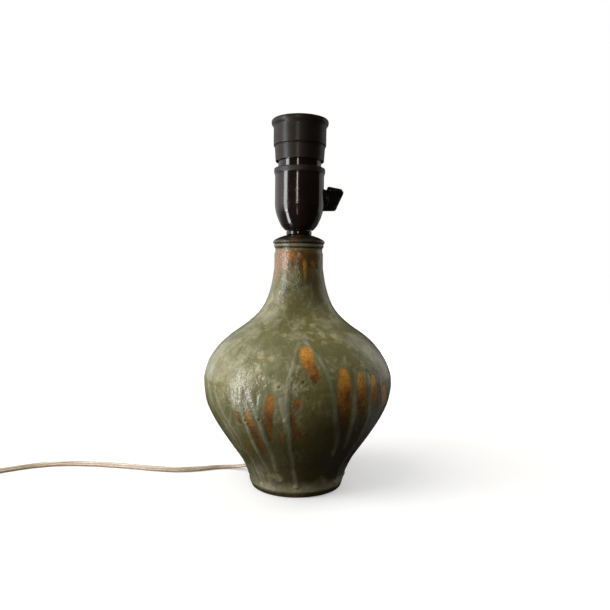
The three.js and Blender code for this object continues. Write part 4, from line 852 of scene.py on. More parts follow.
def glazeFields(turn, along, height, heightToAlong, reach):
    # rust and run are in millimetres: half width less the distance from the nearest trail's middle
    def trailField(trail):
        heights, turns, widths = (np.array(v, float) for v in zip(*sorted(trail)))
        steps = heightToAlong(heights)
        sideways = np.radians(turnFrom(np.interp(along, steps, turns), turn)) * reach
        past = along - np.clip(along, steps[0], steps[-1])
        return np.interp(along, steps, widths) - np.hypot(sideways, past)

    def spotDistance(spot):
        sideways = np.radians(turnFrom(spot[1], turn)) * reach
        return np.hypot(sideways, along - heightToAlong(spot[0]))

    def around(edge, radius, distance):
        start, full = spotEdges[edge]
        return smooth(radius * start, radius * full, distance)

    hiddenRuns, hiddenRust, hiddenDrops, hiddenPits = hiddenTrails(hidden)
    shape = np.broadcast_shapes(turn.shape, along.shape)
    rust, run = np.full(shape, marks["offTrail"]), np.full(shape, marks["offTrail"])
    tone, rise, sink, pale, hole, cloud = (np.zeros(shape) for _ in range(6))
    for startTone, endTone, trail in rustTrails + hiddenRust:
        value = trailField(trail)
        top, bottom = max(p[0] for p in trail), min(p[0] for p in trail)
        span = max(top - bottom, marks["leastFall"])
        fallen = np.clip((top - height) * marks["deepening"] / span, 0, 1)
        tone = np.where(value > rust, fallen * (endTone - startTone) + startTone, tone)
        rust = np.maximum(rust, value)
    for trail in runTrails + hiddenRuns:
        run = np.maximum(run, trailField(trail))
    # under the rim the rust goes all round, and towards the switch it is brown again
    edge = np.interp(turn, *zip(*neckRustEdge))
    neck = np.minimum((height - edge) * marks["neckFade"] + marks["neckLead"],
                      (marks["neckTop"] - height) * marks["neckTopFade"])
    burnt = smooth(*marks["burntHeight"], height) * smooth(*marks["burntLeft"], turn) \
        * smooth(*marks["burntRight"], turn) * marks["burnt"]
    deeper = np.clip((marks["neckDeepFrom"] - height) / marks["neckDeepOver"], 0, marks["neckDeepMost"])
    neckTone = np.interp(turn, *zip(*neckTones))
    neckTone = neckTone + burnt * (1 - neckTone) + deeper
    tone = np.where(neck > rust, np.clip(neckTone, 0, 1), tone)
    rust = np.maximum(rust, neck)

    for spot in drops + hiddenDrops:
        distance, (radius, lift) = spotDistance(spot), spot[2:]
        rise = np.maximum(rise, around("bulge", radius, distance) * lift)
        pale = np.maximum(pale, around("halo", radius, distance))
    # grey-green clouds, and pale patches on the lit side that are painted sheen
    for spot in cloudsAndPaintedSheen:
        radius, share = spot[2:]
        cloud = np.maximum(cloud, around("cloud", radius, spotDistance(spot)) * share)
    for spot in craters + hiddenPits:
        distance, (radius, depth) = spotDistance(spot), spot[2:]
        inside = around("pit", radius, distance)
        ring = around("ringInside", radius, distance) * around("ringOutside", radius, distance)
        hole = np.maximum(hole, inside)
        sink = np.maximum(sink, inside * depth)
        rise = np.maximum(rise, ring * depth * marks["ringRise"])
        pale = np.maximum(pale, ring * marks["ringPale"])
    return {"rust": rust, "rustTone": tone, "run": run, "pale": pale, "hole": hole, "cloud": cloud,
            "rise": rise, "sink": sink}


# how far the glaze and the thrower's hand move the surface, with pairs as above
skin = {
    "ridgeEdge": (-2.0, 1.8), "ridge": 0.42, "lowRidge": 0.5, "rustEdge": (-0.6, 1.2), "rustSink": 0.16,
    "bodyFoot": (2.0, 9.0), "bodyTop": (205, 197), "lowFoot": (1.5, 5), "lowTop": (190, 100),
    "footRoll": 0.45, "footRollHeight": 4.6, "footRollWidth": 1.9, "footRollPlain": 0.8,
    "footRollUneven": 0.9, "swell": 1.7, "swellTurn": 91, "swellTurnWidth": 22, "swellHeight": 87,
    "swellHeightWidth": 11, "uneven": 0.42, "unevenScale": (0.035, 0.035, 0.045),
    "fine": 0.04, "fineScale": (0.32, 0.32, 0.22), "unevenFoot": (0.5, 12), "unevenTop": (207, 181),
    "rimFine": 0.05, "rimFoot": (181, 207), "rimTop": (215.1, 213.2), "leastReach": 5,
}


def surfaceLift(fields, turn, level, uneven, fine):
    # how far each point of the outside moves outwards
    ridge = smooth(*skin["ridgeEdge"], fields["run"])
    body = smooth(*skin["bodyFoot"], level) * smooth(*skin["bodyTop"], level)
    low = (1 - body) * smooth(*skin["lowFoot"], level) * smooth(*skin["lowTop"], level)
    sunk = smooth(*skin["rustEdge"], fields["rust"]) * skin["rustSink"] + fields["sink"]
    lift = (ridge * skin["ridge"] + fields["rise"] - sunk) * body
    lift = lift + (fields["rise"] + ridge * skin["lowRidge"]) * low
    thrown = smooth(*skin["unevenFoot"], level) * smooth(*skin["unevenTop"], level)
    lift = lift + (uneven * skin["uneven"] + fine * skin["fine"]) * thrown
    roll = np.exp(-((level - skin["footRollHeight"]) / skin["footRollWidth"]) ** 2) * skin["footRoll"]
    lift = lift + roll * (skin["footRollPlain"] + uneven * skin["footRollUneven"])
    aside = turnFrom(skin["swellTurn"], turn) / skin["swellTurnWidth"]
    above = (level - skin["swellHeight"]) / skin["swellHeightWidth"]
    lift = lift + skin["swell"] * np.exp(-aside ** 2) * np.exp(-above ** 2)
    rim = smooth(*skin["rimFoot"], level) * smooth(*skin["rimTop"], level)
    return lift + fine * skin["rimFine"] * rim


def makeBase(base):
    outer, inside = clayOutline(base)
    outline = np.concatenate([outer, inside])
    sides, count = base["columns"], len(outline)
    angle = np.linspace(0, 2 * math.pi, sides, endpoint=False)[:, None]
    turn = turnFrom(-90, np.degrees(angle))
    radius, height = outline[None, :, 0], outline[None, :, 1]
    along = lengthsAlong(outline)[None, :]
    glazed = slice(0, len(outer))
    reach, level = radius[:, glazed], height[:, glazed]

    def heightToAlong(wanted):
        return np.interp(wanted, outer[:, 1], along[0, glazed])

    leastReach = np.maximum(reach, skin["leastReach"])
    fields = glazeFields(turn, along[:, glazed], level, heightToAlong, leastReach)
    # the thrower's hand: a body that isn't quite round, and faint rings
    spots = np.stack(np.broadcast_arrays(np.cos(angle) * reach, np.sin(angle) * reach, level), axis=-1)

    def noiseOver(scale):
        scaled = (spots * np.array(scale)).reshape(-1, 3).tolist()
        return np.array([noise.noise(spot) for spot in scaled]).reshape(spots.shape[:2])

    uneven, fine = noiseOver(skin["unevenScale"]), noiseOver(skin["fineScale"])
    lift = surfaceLift(fields, turn, level, uneven, fine)
    normal = np.gradient(outer, axis=0)
    normal = np.stack([normal[:, 1], -normal[:, 0]], axis=1)
    normal /= np.linalg.norm(normal, axis=1)[:, None]
    radius, height = np.repeat(radius, sides, axis=0), np.repeat(height, sides, axis=0)
    radius[:, glazed] += lift * normal[None, :, 0]
    height[:, glazed] += lift * normal[None, :, 1]
    points = np.stack([radius * np.cos(angle), radius * np.sin(angle), height], axis=-1)
    piece = makePiece("glazed_base", points.reshape(-1, 3), gridFaces(sides, count), "lamp",
                      glazeMaterial(glazeLook), "stoneware_body", sharpAngle=60)

    def store(name, values, outside=0.0):
        # a field of the glazed side, with one plain value for the inside
        full = np.full((sides, count), float(outside))
        full[:, glazed] = values
        storeValues(piece.data, name, full.ravel())

    for name in ("rust", "run"):
        store(name, fields[name], marks["offTrail"])
    for name in ("rustTone", "pale", "hole", "cloud"):
        store(name, fields[name])
    bareEdge = marks["bareHeight"] + uneven * marks["bareUneven"] + fine * marks["bareFine"]
    bareStart, bareFull = marks["bare"]
    store("bare", smooth(bareEdge + bareStart, bareEdge + bareFull, level), 1)
    below = base["height"] - level + uneven * marks["rimUneven"]
    # the rim's bands: the dark top and the dark lines in the grooves are painted shade
    store("rimPale", np.interp(below, *zip(*rimShades)))
    store("rim", smooth(*marks["rim"], below))
    # the neck and shoulder turn browner and darker: partly the glaze's own tone, partly painted shade
    brownShade = smooth(*marks["duskFoot"], level + uneven * marks["duskUneven"])
    brownShade = brownShade * smooth(*marks["duskTop"], level)
    store("brownShade", np.interp(turn, *zip(*neckBrownShade)) * brownShade)
    # painted shade on the lower half
    shade = smooth(*marks["shade"], level + uneven * marks["shadeUneven"])
    store("shade", np.interp(turn, *zip(*lowShade)) * shade)
    # painted sheen: the rust on the neck is paler and pinker on the side of the key lamp
    store("rustSheen", smooth(*marks["rustSheenRight"], turn) * smooth(*marks["rustSheenLeft"], turn))
    # where a point is along the outline and round the lamp, so that streaks follow the form
    flow = np.stack(np.broadcast_arrays(
        np.cos(angle) * marks["flowReach"], np.sin(angle) * marks["flowReach"], along / perMetre), axis=-1)
    piece.data.attributes.new("flow", "FLOAT_VECTOR", "POINT").data.foreach_set("vector", flow.ravel())
    return piece


# some of these colours stand for light: the pale cloud colour is partly painted sheen, the pink rust
# colour is painted sheen, the darkest olive is painted shade, the darkest rim colour is painted shade, and
# the dark brown of the neck is partly painted shade
glazeColours = {
    "oliveDeep": (90, 84, 43), "olive": (113, 106, 60), "greyGreen": (110, 111, 80),
    "mottle": (160, 153, 116), "speck": (68, 62, 32), "cloud": (150, 150, 126), "shade": (44, 38, 11),
    "brownShade": (66, 55, 29), "runCool": (110, 113, 90), "runPale": (142, 139, 112), "runEdge": (78, 70, 46),
    "flame": (214, 152, 66), "gold": (176, 124, 50), "amber": (142, 94, 40), "brown": (92, 60, 26),
    "umber": (54, 38, 20), "rustSheen": (142, 110, 84), "rimDark": (24, 20, 12), "rimPale": (118, 112, 84),
    "pit": (40, 33, 20), "clay": (46, 36, 28), "clayPale": (74, 60, 46),
}
hue = {name: colour(*values) for name, values in glazeColours.items()}
glazeLook = {
    "bareRoughness": 0.35, "specular": 0.16, "coat": 0.9, "rimCoat": 0.75, "coatRoughness": 0.13,
    "spots": 0.6, "veins": 0.45, "shade": 0.82, "thickFoot": 1.3, "ragged": 2.8, "frayed": 1.3,
    "runWobble": 0.8, "runEdge": 0.45, "runShade": 0.45, "toneMottle": 1.5, "rustSheen": 0.8, "pit": 0.85,
    "peel": 0.001, "peelStrength": 0.75, "pebbles": 0.7, "grains": 0.5, "dust": 0.05,
    "streakStretch": 0.16,
}
# where the glaze changes, in metres above the foot: start and full, with the shares there
# where they aren't 0 and 1
glazeHeights = {
    "paintedSky": (0.07, 0.13, 0.1, 0.55), "shoulderFoot": (0.078, 0.1), "shoulderTop": (0.19, 0.165),
    "veins": (0.07, 0.1), "thickFoot": (0.0035, 0.006), "thickTop": (0.016, 0.008), "rustSheen": (0.16, 0.178),
}
# the same for noises, and for millimetres inside a run or a rust mark
glazeSteps = {
    "olive": (0.36, 0.66), "streaks": (0.45, 0.7, 0, 0.6), "palerClouds": (0.62, 0.4),
    "spots": (0.52, 0.64), "spotPatches": (0.42, 0.6), "veins": (0.07, 0.01), "veinClouds": (0.4, 0.6),
    "veinPatches": (0.4, 0.6), "mottle": (0.5, 0.72, 0, 0.5), "specks": (0.58, 0.74, 0, 0.4),
    "cloudPatches": (0.34, 0.62, 0.15, 1.0), "cloudStreaks": (0.36, 0.6, 0.3, 1.0),
    "duskPatches": (0.3, 0.6, 0.95, 0.6), "runBeside": (-2.4, -1.2), "runBorder": (0.1, -0.7),
    "runGaps": (0.4, 0.6), "runPaint": (0.35, 0.65), "run": (-1.7, 1.3),
    "runPatches": (0.32, 0.62, 0.35, 0.9), "halo": (0.4, 0.62, 0.1, 0.9),
    "raggedDepth": (0.1, 0.9, 1.0, 2.2), "rustSpecks": (0.48, 0.68, 0, 0.5), "rustBeside": (-2.0, -0.8),
    "rustBorder": (0.4, -0.4), "rustBorderDepth": (0.1, 0.6, 0.5, 0.0), "rust": (-1.1, 1.9),
    "rustDepth": (0.6, 1.05, 1.0, 0.35), "rimPatches": (0.5, 0.7, 0, 0.5), "clayPatches": (0.35, 0.65),
    "roughness": (0.3, 0.7, 0.34, 0.5),
}
# scale, detail, roughness and distortion of each noise in the glaze
glazeNoise = {
    "streaky": (150, 4, 0.6, 0.4), "cloudy": (24, 4, 0.6, 0.8), "patchy": (85, 5, 0.65, 0.3),
    "blotchy": (120, 3, 0.62, 0.25), "speckled": (520, 3, 0.6), "parting": (80, 4, 0.62, 0.1),
    "ragged": (190, 3), "frayed": (700, 2), "pebbles": (230, 2, 0.5), "grains": (600, 2, 0.6),
    "dust": (1500, 2),
}
# the rust's colours after flame, each with the tones between which it takes over
rustSteps = {"gold": (-0.5, 0.05), "amber": (0.0, 0.35), "brown": (0.3, 0.65), "umber": (0.6, 1.0)}


def atHeight(tree, zone):
    split = tree.nodes.new("ShaderNodeSeparateXYZ")
    wire(tree, place(tree), split.inputs["Vector"])
    return ranged(tree, split.outputs["Z"], *glazeHeights[zone])


def shareOf(tree, step, value):
    return ranged(tree, value, *glazeSteps[step])


def oliveGround(tree, grain, look):
    # clouds and streaks, a paler upper part that is painted sky reflection, pale spots and veins on the
    # shoulder, pale clouds that are partly painted sheen, painted shade below, a browner neck that is
    # partly painted shade, thick at the foot
    cloudy, streaky, patchy = grain["cloudy"], grain["streaky"], grain["patchy"]
    body = mixColour(tree, shareOf(tree, "olive", cloudy), hue["oliveDeep"], hue["olive"])
    body = mixColour(tree, shareOf(tree, "streaks", streaky), body, hue["greyGreen"])
    # the upper part is paler with painted sky reflection
    paintedSky = product(tree, atHeight(tree, "paintedSky"), shareOf(tree, "palerClouds", cloudy))
    body = mixColour(tree, paintedSky, body, hue["greyGreen"])
    spots = product(tree, shareOf(tree, "spots", grain["blotchy"]), shareOf(tree, "spotPatches", patchy),
                    atHeight(tree, "shoulderFoot"), atHeight(tree, "shoulderTop"), look["spots"])
    body = mixColour(tree, spots, body, hue["mottle"])
    parting = mathNode(tree, "ABSOLUTE", centred(tree, grain["parting"]))
    veins = product(tree, shareOf(tree, "veins", parting), shareOf(tree, "veinClouds", cloudy),
                    atHeight(tree, "veins"), shareOf(tree, "veinPatches", patchy), look["veins"])
    body = mixColour(tree, veins, body, hue["mottle"])
    body = mixColour(tree, shareOf(tree, "mottle", patchy), body, hue["mottle"])
    body = mixColour(tree, shareOf(tree, "specks", grain["speckled"]), body, hue["speck"])
    # pale clouds, partly painted sheen on the lit side
    cloudedAndSheened = product(tree, field(tree, "cloud"), shareOf(tree, "cloudPatches", patchy),
                      shareOf(tree, "cloudStreaks", streaky))
    body = mixColour(tree, cloudedAndSheened, body, hue["cloud"])
    # painted shade on the lower half
    body = mixColour(tree, product(tree, field(tree, "shade"), look["shade"]), body, hue["shade"])
    # browner, darker neck and shoulder, partly painted shade
    brownShaded = product(tree, field(tree, "brownShade"), shareOf(tree, "duskPatches", patchy))
    body = mixColour(tree, brownShaded, body, hue["brownShade"])
    thick = product(tree, atHeight(tree, "thickFoot"), atHeight(tree, "thickTop"), patchy,
                    look["thickFoot"])
    return mixColour(tree, thick, body, hue["runPale"])


def addRuns(tree, body, grain, look):
    # each run has a darker line beside it, and drops have a pale edge
    patchy = grain["patchy"]
    run = plus(tree, field(tree, "run"), product(tree, grain["wobble"], look["runWobble"]))
    edge = product(tree, shareOf(tree, "runBeside", run), shareOf(tree, "runBorder", run),
                   shareOf(tree, "runGaps", patchy), look["runEdge"])
    body = mixColour(tree, edge, body, hue["runEdge"])
    paint = mixColour(tree, shareOf(tree, "runPaint", grain["streaky"]), hue["runCool"], hue["runPale"])
    # the runs take the painted shade of the lower half too
    paint = mixColour(tree, product(tree, field(tree, "shade"), look["runShade"]), paint, hue["shade"])
    share = product(tree, shareOf(tree, "run", run), shareOf(tree, "runPatches", patchy))
    body = mixColour(tree, share, body, paint)
    halo = product(tree, field(tree, "pale"), shareOf(tree, "halo", patchy))
    return mixColour(tree, halo, body, hue["mottle"])


def addRust(tree, body, grain, look):
    # rust breaks through between the runs, more raggedly and less fully where it is dark
    depth = field(tree, "rustTone")
    ragged = product(tree, grain["wobble"], shareOf(tree, "raggedDepth", depth))
    rust = plus(tree, field(tree, "rust"), ragged)
    tone = plus(tree, depth, product(tree, centred(tree, grain["patchy"]), look["toneMottle"]))
    paint = hue["flame"]
    for name, tones in rustSteps.items():
        paint = mixColour(tree, ranged(tree, tone, *tones), paint, hue[name])
    # painted sheen on the rust of the lit side
    sheenOnRust = product(tree, field(tree, "rustSheen"), atHeight(tree, "rustSheen"), look["rustSheen"])
    paint = mixColour(tree, sheenOnRust, paint, hue["rustSheen"])
    paint = mixColour(tree, shareOf(tree, "rustSpecks", grain["speckled"]), paint, hue["brown"])
    edge = product(tree, shareOf(tree, "rustBeside", rust), shareOf(tree, "rustBorder", rust),
                   shareOf(tree, "rustBorderDepth", depth))
    body = mixColour(tree, edge, body, hue["greyGreen"])
    share = product(tree, shareOf(tree, "rust", rust), shareOf(tree, "rustDepth", depth))
    return mixColour(tree, share, body, paint)


def glazeMaterial(look):
    material, tree, shader = newMaterial(
        "olive_glaze", Coat_Weight=look["coat"], Coat_Roughness=look["coatRoughness"],
        Specular_IOR_Level=look["specular"])
    spot = place(tree)
    flow = stretched(tree, field(tree, "flow", "Vector"), (1, 1, look["streakStretch"]))
    grain = {name: noiseAt(tree, flow if name == "streaky" else spot, *values)
             for name, values in glazeNoise.items()}
    grain["wobble"] = plus(tree, product(tree, centred(tree, grain["ragged"]), look["ragged"]),
                           product(tree, centred(tree, grain["frayed"]), look["frayed"]))
    body = addRuns(tree, oliveGround(tree, grain, look), grain, look)
    body = addRust(tree, body, grain, look)
    # rim, with painted shade on its top and in its grooves, pits and the bare foot
    patchy, rim, bare = grain["patchy"], field(tree, "rim"), field(tree, "bare")
    rimColour = mixColour(tree, field(tree, "rimPale"), hue["rimDark"], hue["rimPale"])
    rimColour = mixColour(tree, shareOf(tree, "rimPatches", patchy), rimColour, hue["brown"])
    body = mixColour(tree, rim, body, rimColour)
    body = mixColour(tree, product(tree, field(tree, "hole"), look["pit"]), body, hue["pit"])
    bareColour = mixColour(tree, shareOf(tree, "clayPatches", patchy), hue["clay"], hue["clayPale"])
    wire(tree, mixColour(tree, bare, body, bareColour), shader.inputs["Base Color"])
    coat = product(tree, mathNode(tree, "SUBTRACT", 1.0, bare),
                   ranged(tree, rim, 0.0, 1.0, look["coat"], look["rimCoat"]))
    wire(tree, coat, shader.inputs["Coat Weight"])
    roughness = plus(tree, shareOf(tree, "roughness", patchy),
                     product(tree, bare, look["bareRoughness"]))
    wire(tree, roughness, shader.inputs["Roughness"])
    pebbles = product(tree, grain["pebbles"], look["pebbles"])
    peel = plus(tree, pebbles, product(tree, grain["grains"], look["grains"]))
    peel = plus(tree, peel, product(tree, grain["dust"], look["dust"]))
    bumpInto(tree, shader, peel, look["peel"], look["peelStrength"], coat=True)
    return material


basePiece = makeBase(clay)
turnOfHole = math.radians(flex["holeTurn"])
for radius, start in ((clay["holeRadius"], clay["holeStart"]), (clay["seatRadius"], clay["seatReach"])):
    hole = barPoints(radius, start, clay["holeEnd"], clay["holeSides"], turnOfHole, flex["holeHeight"])
    combine(basePiece, addCutter(*hole), "DIFFERENCE")
print("stoneware base thrown and glazed")


# Lampholder

holderSides = 160
thread = {"pitch": 2.5, "step": 0.28}  # one for the mantle and its rings


def turnedBakelite(name, corners, node, body="lamp", finish=bakeliteGloss, wave=None, steps=4):
    outline = rounded(corners, steps)
    return turnedPiece(name, outline, holderSides, body, finish, node, wave)


collar = {"radius": 10.9, "edge": 1.2, "bore": 5.3, "boreEdge": 0.2}


def makeCollar(part):
    low, high = boxOf("collar_ring")
    radius, edge, bore, boreEdge = (part[name] for name in ("radius", "edge", "bore", "boreEdge"))
    turnedBakelite("collar", [(bore, low.z, boreEdge), (radius, low.z, edge), (radius, high.z, edge),
                              (bore, high.z, boreEdge)], "collar_ring", steps=5)


# with the boss and the bush of the switch, and the hole of the grub screw
cap = {
    "radius": 21.05, "footRadius": 11.7, "roundHeight": 21.2, "footEdge": 0.6, "bore": 5.3,
    "lipRadius": 21.95, "lipHeight": 2.9, "lipSlope": 2.2, "topEdge": 0.8, "socketRadius": 18.8,
    "socketDepth": 12.2, "cavityRadius": 16.5, "cavityFoot": 9.2, "bossRadius": 8.7, "bossStart": 19.0,
    "bossFace": 22.1, "bossSides": 72, "spindleRise": 29.2, "keyTurn": 30.0, "bushRadius": 4.2,
    "bushSides": 48, "grubRadius": 1.8, "grubSides": 24, "grubTurn": 100.0, "grubRise": 4.6,
    "cutReach": 30.0, "mattFade": (-1.6, -0.4),
}
# the rounded foot of the cap, in shares of its height and of its growth in radius
capRoundShares = [(0, 0), (0.06, 0.15), (0.2, 0.415), (0.45, 0.685), (0.72, 0.893), (1, 1)]


def makeCap(part):
    low, high = boxOf("holder_cap")
    bottom, top = low.z, high.z
    foot = uniformSpline([
        (part["footRadius"] + (part["radius"] - part["footRadius"]) * out,
         bottom + part["roundHeight"] * up) for up, out in capRoundShares], 10)
    lipBottom = top - part["topEdge"] - part["lipHeight"]
    ledge = top - part["socketDepth"]
    cavityFoot = bottom + part["cavityFoot"]
    taper = part["roundHeight"] - part["cavityFoot"]
    corners = [(r, z, 0) for r, z in foot] + [
        (part["radius"], lipBottom - part["lipSlope"], 1.2), (part["lipRadius"], lipBottom, 1.0),
        (part["lipRadius"], top, 0.9), (part["socketRadius"], top, 0.3),
        (part["socketRadius"], ledge, 0), (part["cavityRadius"], ledge, 0.3),
        (part["cavityRadius"], cavityFoot + taper, 2.0),
        (part["cavityRadius"] - taper / 3, cavityFoot, 1.0),
        (part["bore"], cavityFoot, 0.2), (part["bore"], bottom, 0.3),
        (part["footRadius"] - part["footEdge"], bottom, 0.3)]
    piece = turnedBakelite("cap", corners, "holder_cap")
    spindle = (math.radians(part["keyTurn"]), bottom + part["spindleRise"])
    grub = (math.radians(part["grubTurn"]), bottom + part["grubRise"])
    boss = barPoints(part["bossRadius"], part["bossStart"], part["bossFace"], part["bossSides"], *spindle)
    combine(piece, addCutter(*boss), "UNION")
    for radius, sides, spot in ((part["bushRadius"], part["bushSides"], spindle),
                                (part["grubRadius"], part["grubSides"], grub)):
        combine(piece, addCutter(*barPoints(radius, 0, part["cutReach"], sides, *spot)), "DIFFERENCE")
    softShade(piece.data, 38)
    # the lip stays matt from the mould, the rest is polished
    spots = np.empty(len(piece.data.vertices) * 3)
    piece.data.vertices.foreach_get("co", spots)
    x, y, z = spots.reshape(-1, 3).T * perMetre
    start, full = part["mattFade"]
    outside = np.hypot(x, y) > part["socketRadius"]
    storeValues(piece.data, "matt", smooth(lipBottom + start, lipBottom + full, z) * outside)


mantle = {
    "radius": 18.5, "threadRadius": 19.7, "threadDepth": 0.85, "threadStart": 15.7, "threadStop": 0.9,
    "threadFade": 1.2, "threadEnds": (0.6, 0.4), "threadNear": 0.25, "bore": 16.4, "mouth": 14.4,
    "lip": 2.2, "mouthEdge": 0.8,
}


def threadWave(part, bottom, top):
    # a rolled thread that climbs one pitch a turn and fades at both ends
    def wave(angle, radius, height):
        fade = part["threadFade"]
        onThread = smooth(bottom, bottom + fade, height) * smooth(top, top - fade, height)
        near = np.abs(radius - part["threadRadius"]) < part["threadNear"]
        phase = 2 * math.pi * height / thread["pitch"] - angle
        crest = 0.5 + 0.5 * np.cos(phase)
        return -part["threadDepth"] * (1 - crest) * onThread * near
    return wave


def makeMantle(part):
    low, high = boxOf("holder_mantle")
    bottom, top = low.z, high.z
    threadStart = bottom + part["threadStart"]
    heights = np.arange(threadStart + part["threadFade"], top - part["threadStop"], thread["step"])
    threadLine = [(part["threadRadius"], float(z), 0) for z in heights]
    edge, lipFoot = part["mouthEdge"], top - part["lip"]
    aboveStart, belowTop = part["threadEnds"]
    turnedBakelite("mantle", [
        (part["bore"], bottom, 0.2), (part["radius"], bottom, 0.3),
        (part["radius"], threadStart, 0.2), *threadLine,
        (part["threadRadius"] - edge, top, 0.3), (part["mouth"] + edge, top, 0.6),
        (part["mouth"], top - edge, 0.5), (part["mouth"], lipFoot, 0.2), (part["bore"], lipFoot, 0.2)],
        "holder_mantle", wave=threadWave(part, threadStart + aboveStart, top - belowTop))


# the bore of both rings; its shallow thread waves just outside the radius
ringBore = {"radius": 20.0, "clear": 0.25, "edge": 0.8, "wave": (0.2, 0.25), "fade": (0.5, 2),
            "near": 0.02}
lowerRing = {
    "bottomRadius": 20.85, "topRadius": 21.55, "footInset": 0.15, "footRise": 0.5, "lip": 0.26,
    "lipStart": 1.3, "lipFull": 0.8, "mouth": 0.3,
}
upperRing = {
    "radius": 22.65, "footInset": 0.25, "footTaper": 0.05, "footRise": 0.6, "flangeRadius": 24.5,
    "flangeHeight": 4.1, "flangeFillet": 2.2, "flangeInset": 0.35, "flangeEdge": 1.0, "flangeTop": 1.1,
    "mouth": 0.7,
}


def ringBoreLine(bore, bottom, top):
    heights = np.arange(top - bore["edge"], bottom + bore["edge"], -thread["step"])
    return [(bore["radius"], float(z), 0) for z in heights]


def boreWave(bore, bottom, top):
    middle, depth = bore["wave"]
    start, full = bore["fade"]

    def wave(angle, radius, height):
        onBore = np.abs(radius - bore["radius"]) < bore["near"]
        phase = 2 * math.pi * height / thread["pitch"] - angle
        return (middle + depth * np.cos(phase)) * onBore \
            * smooth(bottom + start, bottom + full, height) * smooth(top - start, top - full, height)
    return wave


def makeLowerRing(part, bore):
    low, high = boxOf("shade_ring_lower")
    bottom, top = low.z, high.z
    lipRadius = part["topRadius"] + part["lip"]
    turnedBakelite("lower_ring", [
        (bore["radius"] + bore["clear"], bottom, 0.1),
        (part["bottomRadius"] - part["footInset"], bottom, 0.2),
        (part["bottomRadius"], bottom + part["footRise"], 0.3),
        (part["topRadius"], top - part["lipStart"], 0.3), (lipRadius, top - part["lipFull"], 0.25),
        (lipRadius, top, 0.2), (bore["radius"] + part["mouth"], top, 0.1),
        *ringBoreLine(bore, bottom, top)],
        "shade_ring_lower", "lower_ring", bakeliteSatin, boreWave(bore, bottom, top))


def makeUpperRing(part, bore):
    low, high = boxOf("shade_ring_upper")
    bottom, top = low.z, high.z
    under, rim = top - part["flangeHeight"], part["flangeRadius"]
    turnedBakelite("upper_ring", [
        (bore["radius"] + bore["clear"], bottom, 0.1), (part["radius"] - part["footInset"], bottom, 0.2),
        (part["radius"] - part["footTaper"], bottom + part["footRise"], 0.3),
        (part["radius"], under - part["flangeFillet"], 1.5), (rim - part["flangeInset"], under, 1.2),
        (rim, under + part["flangeEdge"], 0.6), (rim, top - part["flangeEdge"], 0.8),
        (rim - part["flangeTop"], top, 0.6), (bore["radius"] + part["mouth"], top, 0.5),
        *ringBoreLine(bore, bottom, top)],
        "shade_ring_upper", "upper_ring", bakeliteSatin, boreWave(bore, bottom, top), 6)


makeCollar(collar)
makeCap(cap)
makeMantle(mantle)
makeLowerRing(lowerRing, ringBore)
makeUpperRing(upperRing, ringBore)
print("lampholder turned")


# Screw shell

shell = {"bore": 12.2, "depth": 1.05, "pitch": 3.629, "turns": 5, "wall": 0.5, "foot": 3.0,
         "footBore": 6.8, "wallNear": 0.01, "rowsPerTurn": 12, "sides": 120}


def makeShell(part):
    # a rolled sheet: the same wave inside and outside, which fades at the foot and the mouth
    low, high = boxOf("screw_shell")
    bottom, top = low.z, high.z
    threadFoot, threadHeight = bottom + part["foot"], part["turns"] * part["pitch"]
    middle = part["bore"] + part["depth"] / 2
    rows = np.linspace(threadFoot, threadFoot + threadHeight, part["rowsPerTurn"] * part["turns"])

    def wave(angle, radius, height):
        share = np.clip((height - threadFoot) / threadHeight, 0, 1)
        fade = np.minimum(1, np.minimum(share, 1 - share) * part["turns"])
        onWall = radius > middle - part["wallNear"]
        phase = (height - threadFoot) / part["pitch"] * 2 * math.pi - angle
        return part["depth"] / 2 * fade * np.cos(phase) * onWall * (share > 0) * (share < 1)

    outside = [(middle + part["wall"], float(z), 0) for z in rows]
    inside = [(middle, float(z), 0) for z in rows[::-1]]
    corners = [(part["footBore"], bottom, 0.1), (middle + part["wall"], bottom, 0.8), *outside,
               (middle + part["wall"], top, 0.15), (middle, top, 0.15), *inside,
               (middle, bottom + part["wall"], 0.4), (part["footBore"], bottom + part["wall"], 0.1)]
    turnedPiece("brass_shell", rounded(corners, 3), part["sides"], "lamp", brassSheet,
                "screw_shell", wave)


makeShell(shell)


# Switch key

key = {"tilt": 42.5, "hubRadius": 8.4, "hubWidth": 3.4, "hubRound": 0.8, "hubFace": 1.9, "hubEdge": 0.9,
       "hubSides": 72, "reach": 40.6, "innerWidth": 24.2, "outerWidth": 21.3, "thickness": 5.6,
       "corner": 2.2, "edge": 1.0, "gap": 0.3, "bore": 2.3, "boreDepth": 9.5, "boreSides": 32,
       "axis": 0.01, "boreLead": 1.0}
# the wing's soft edge: depth below its face, and how much of the edge is taken off there
wingEdgeShares = [(0, 1.0), (0.3, 0.45), (1.0, 0.0)]


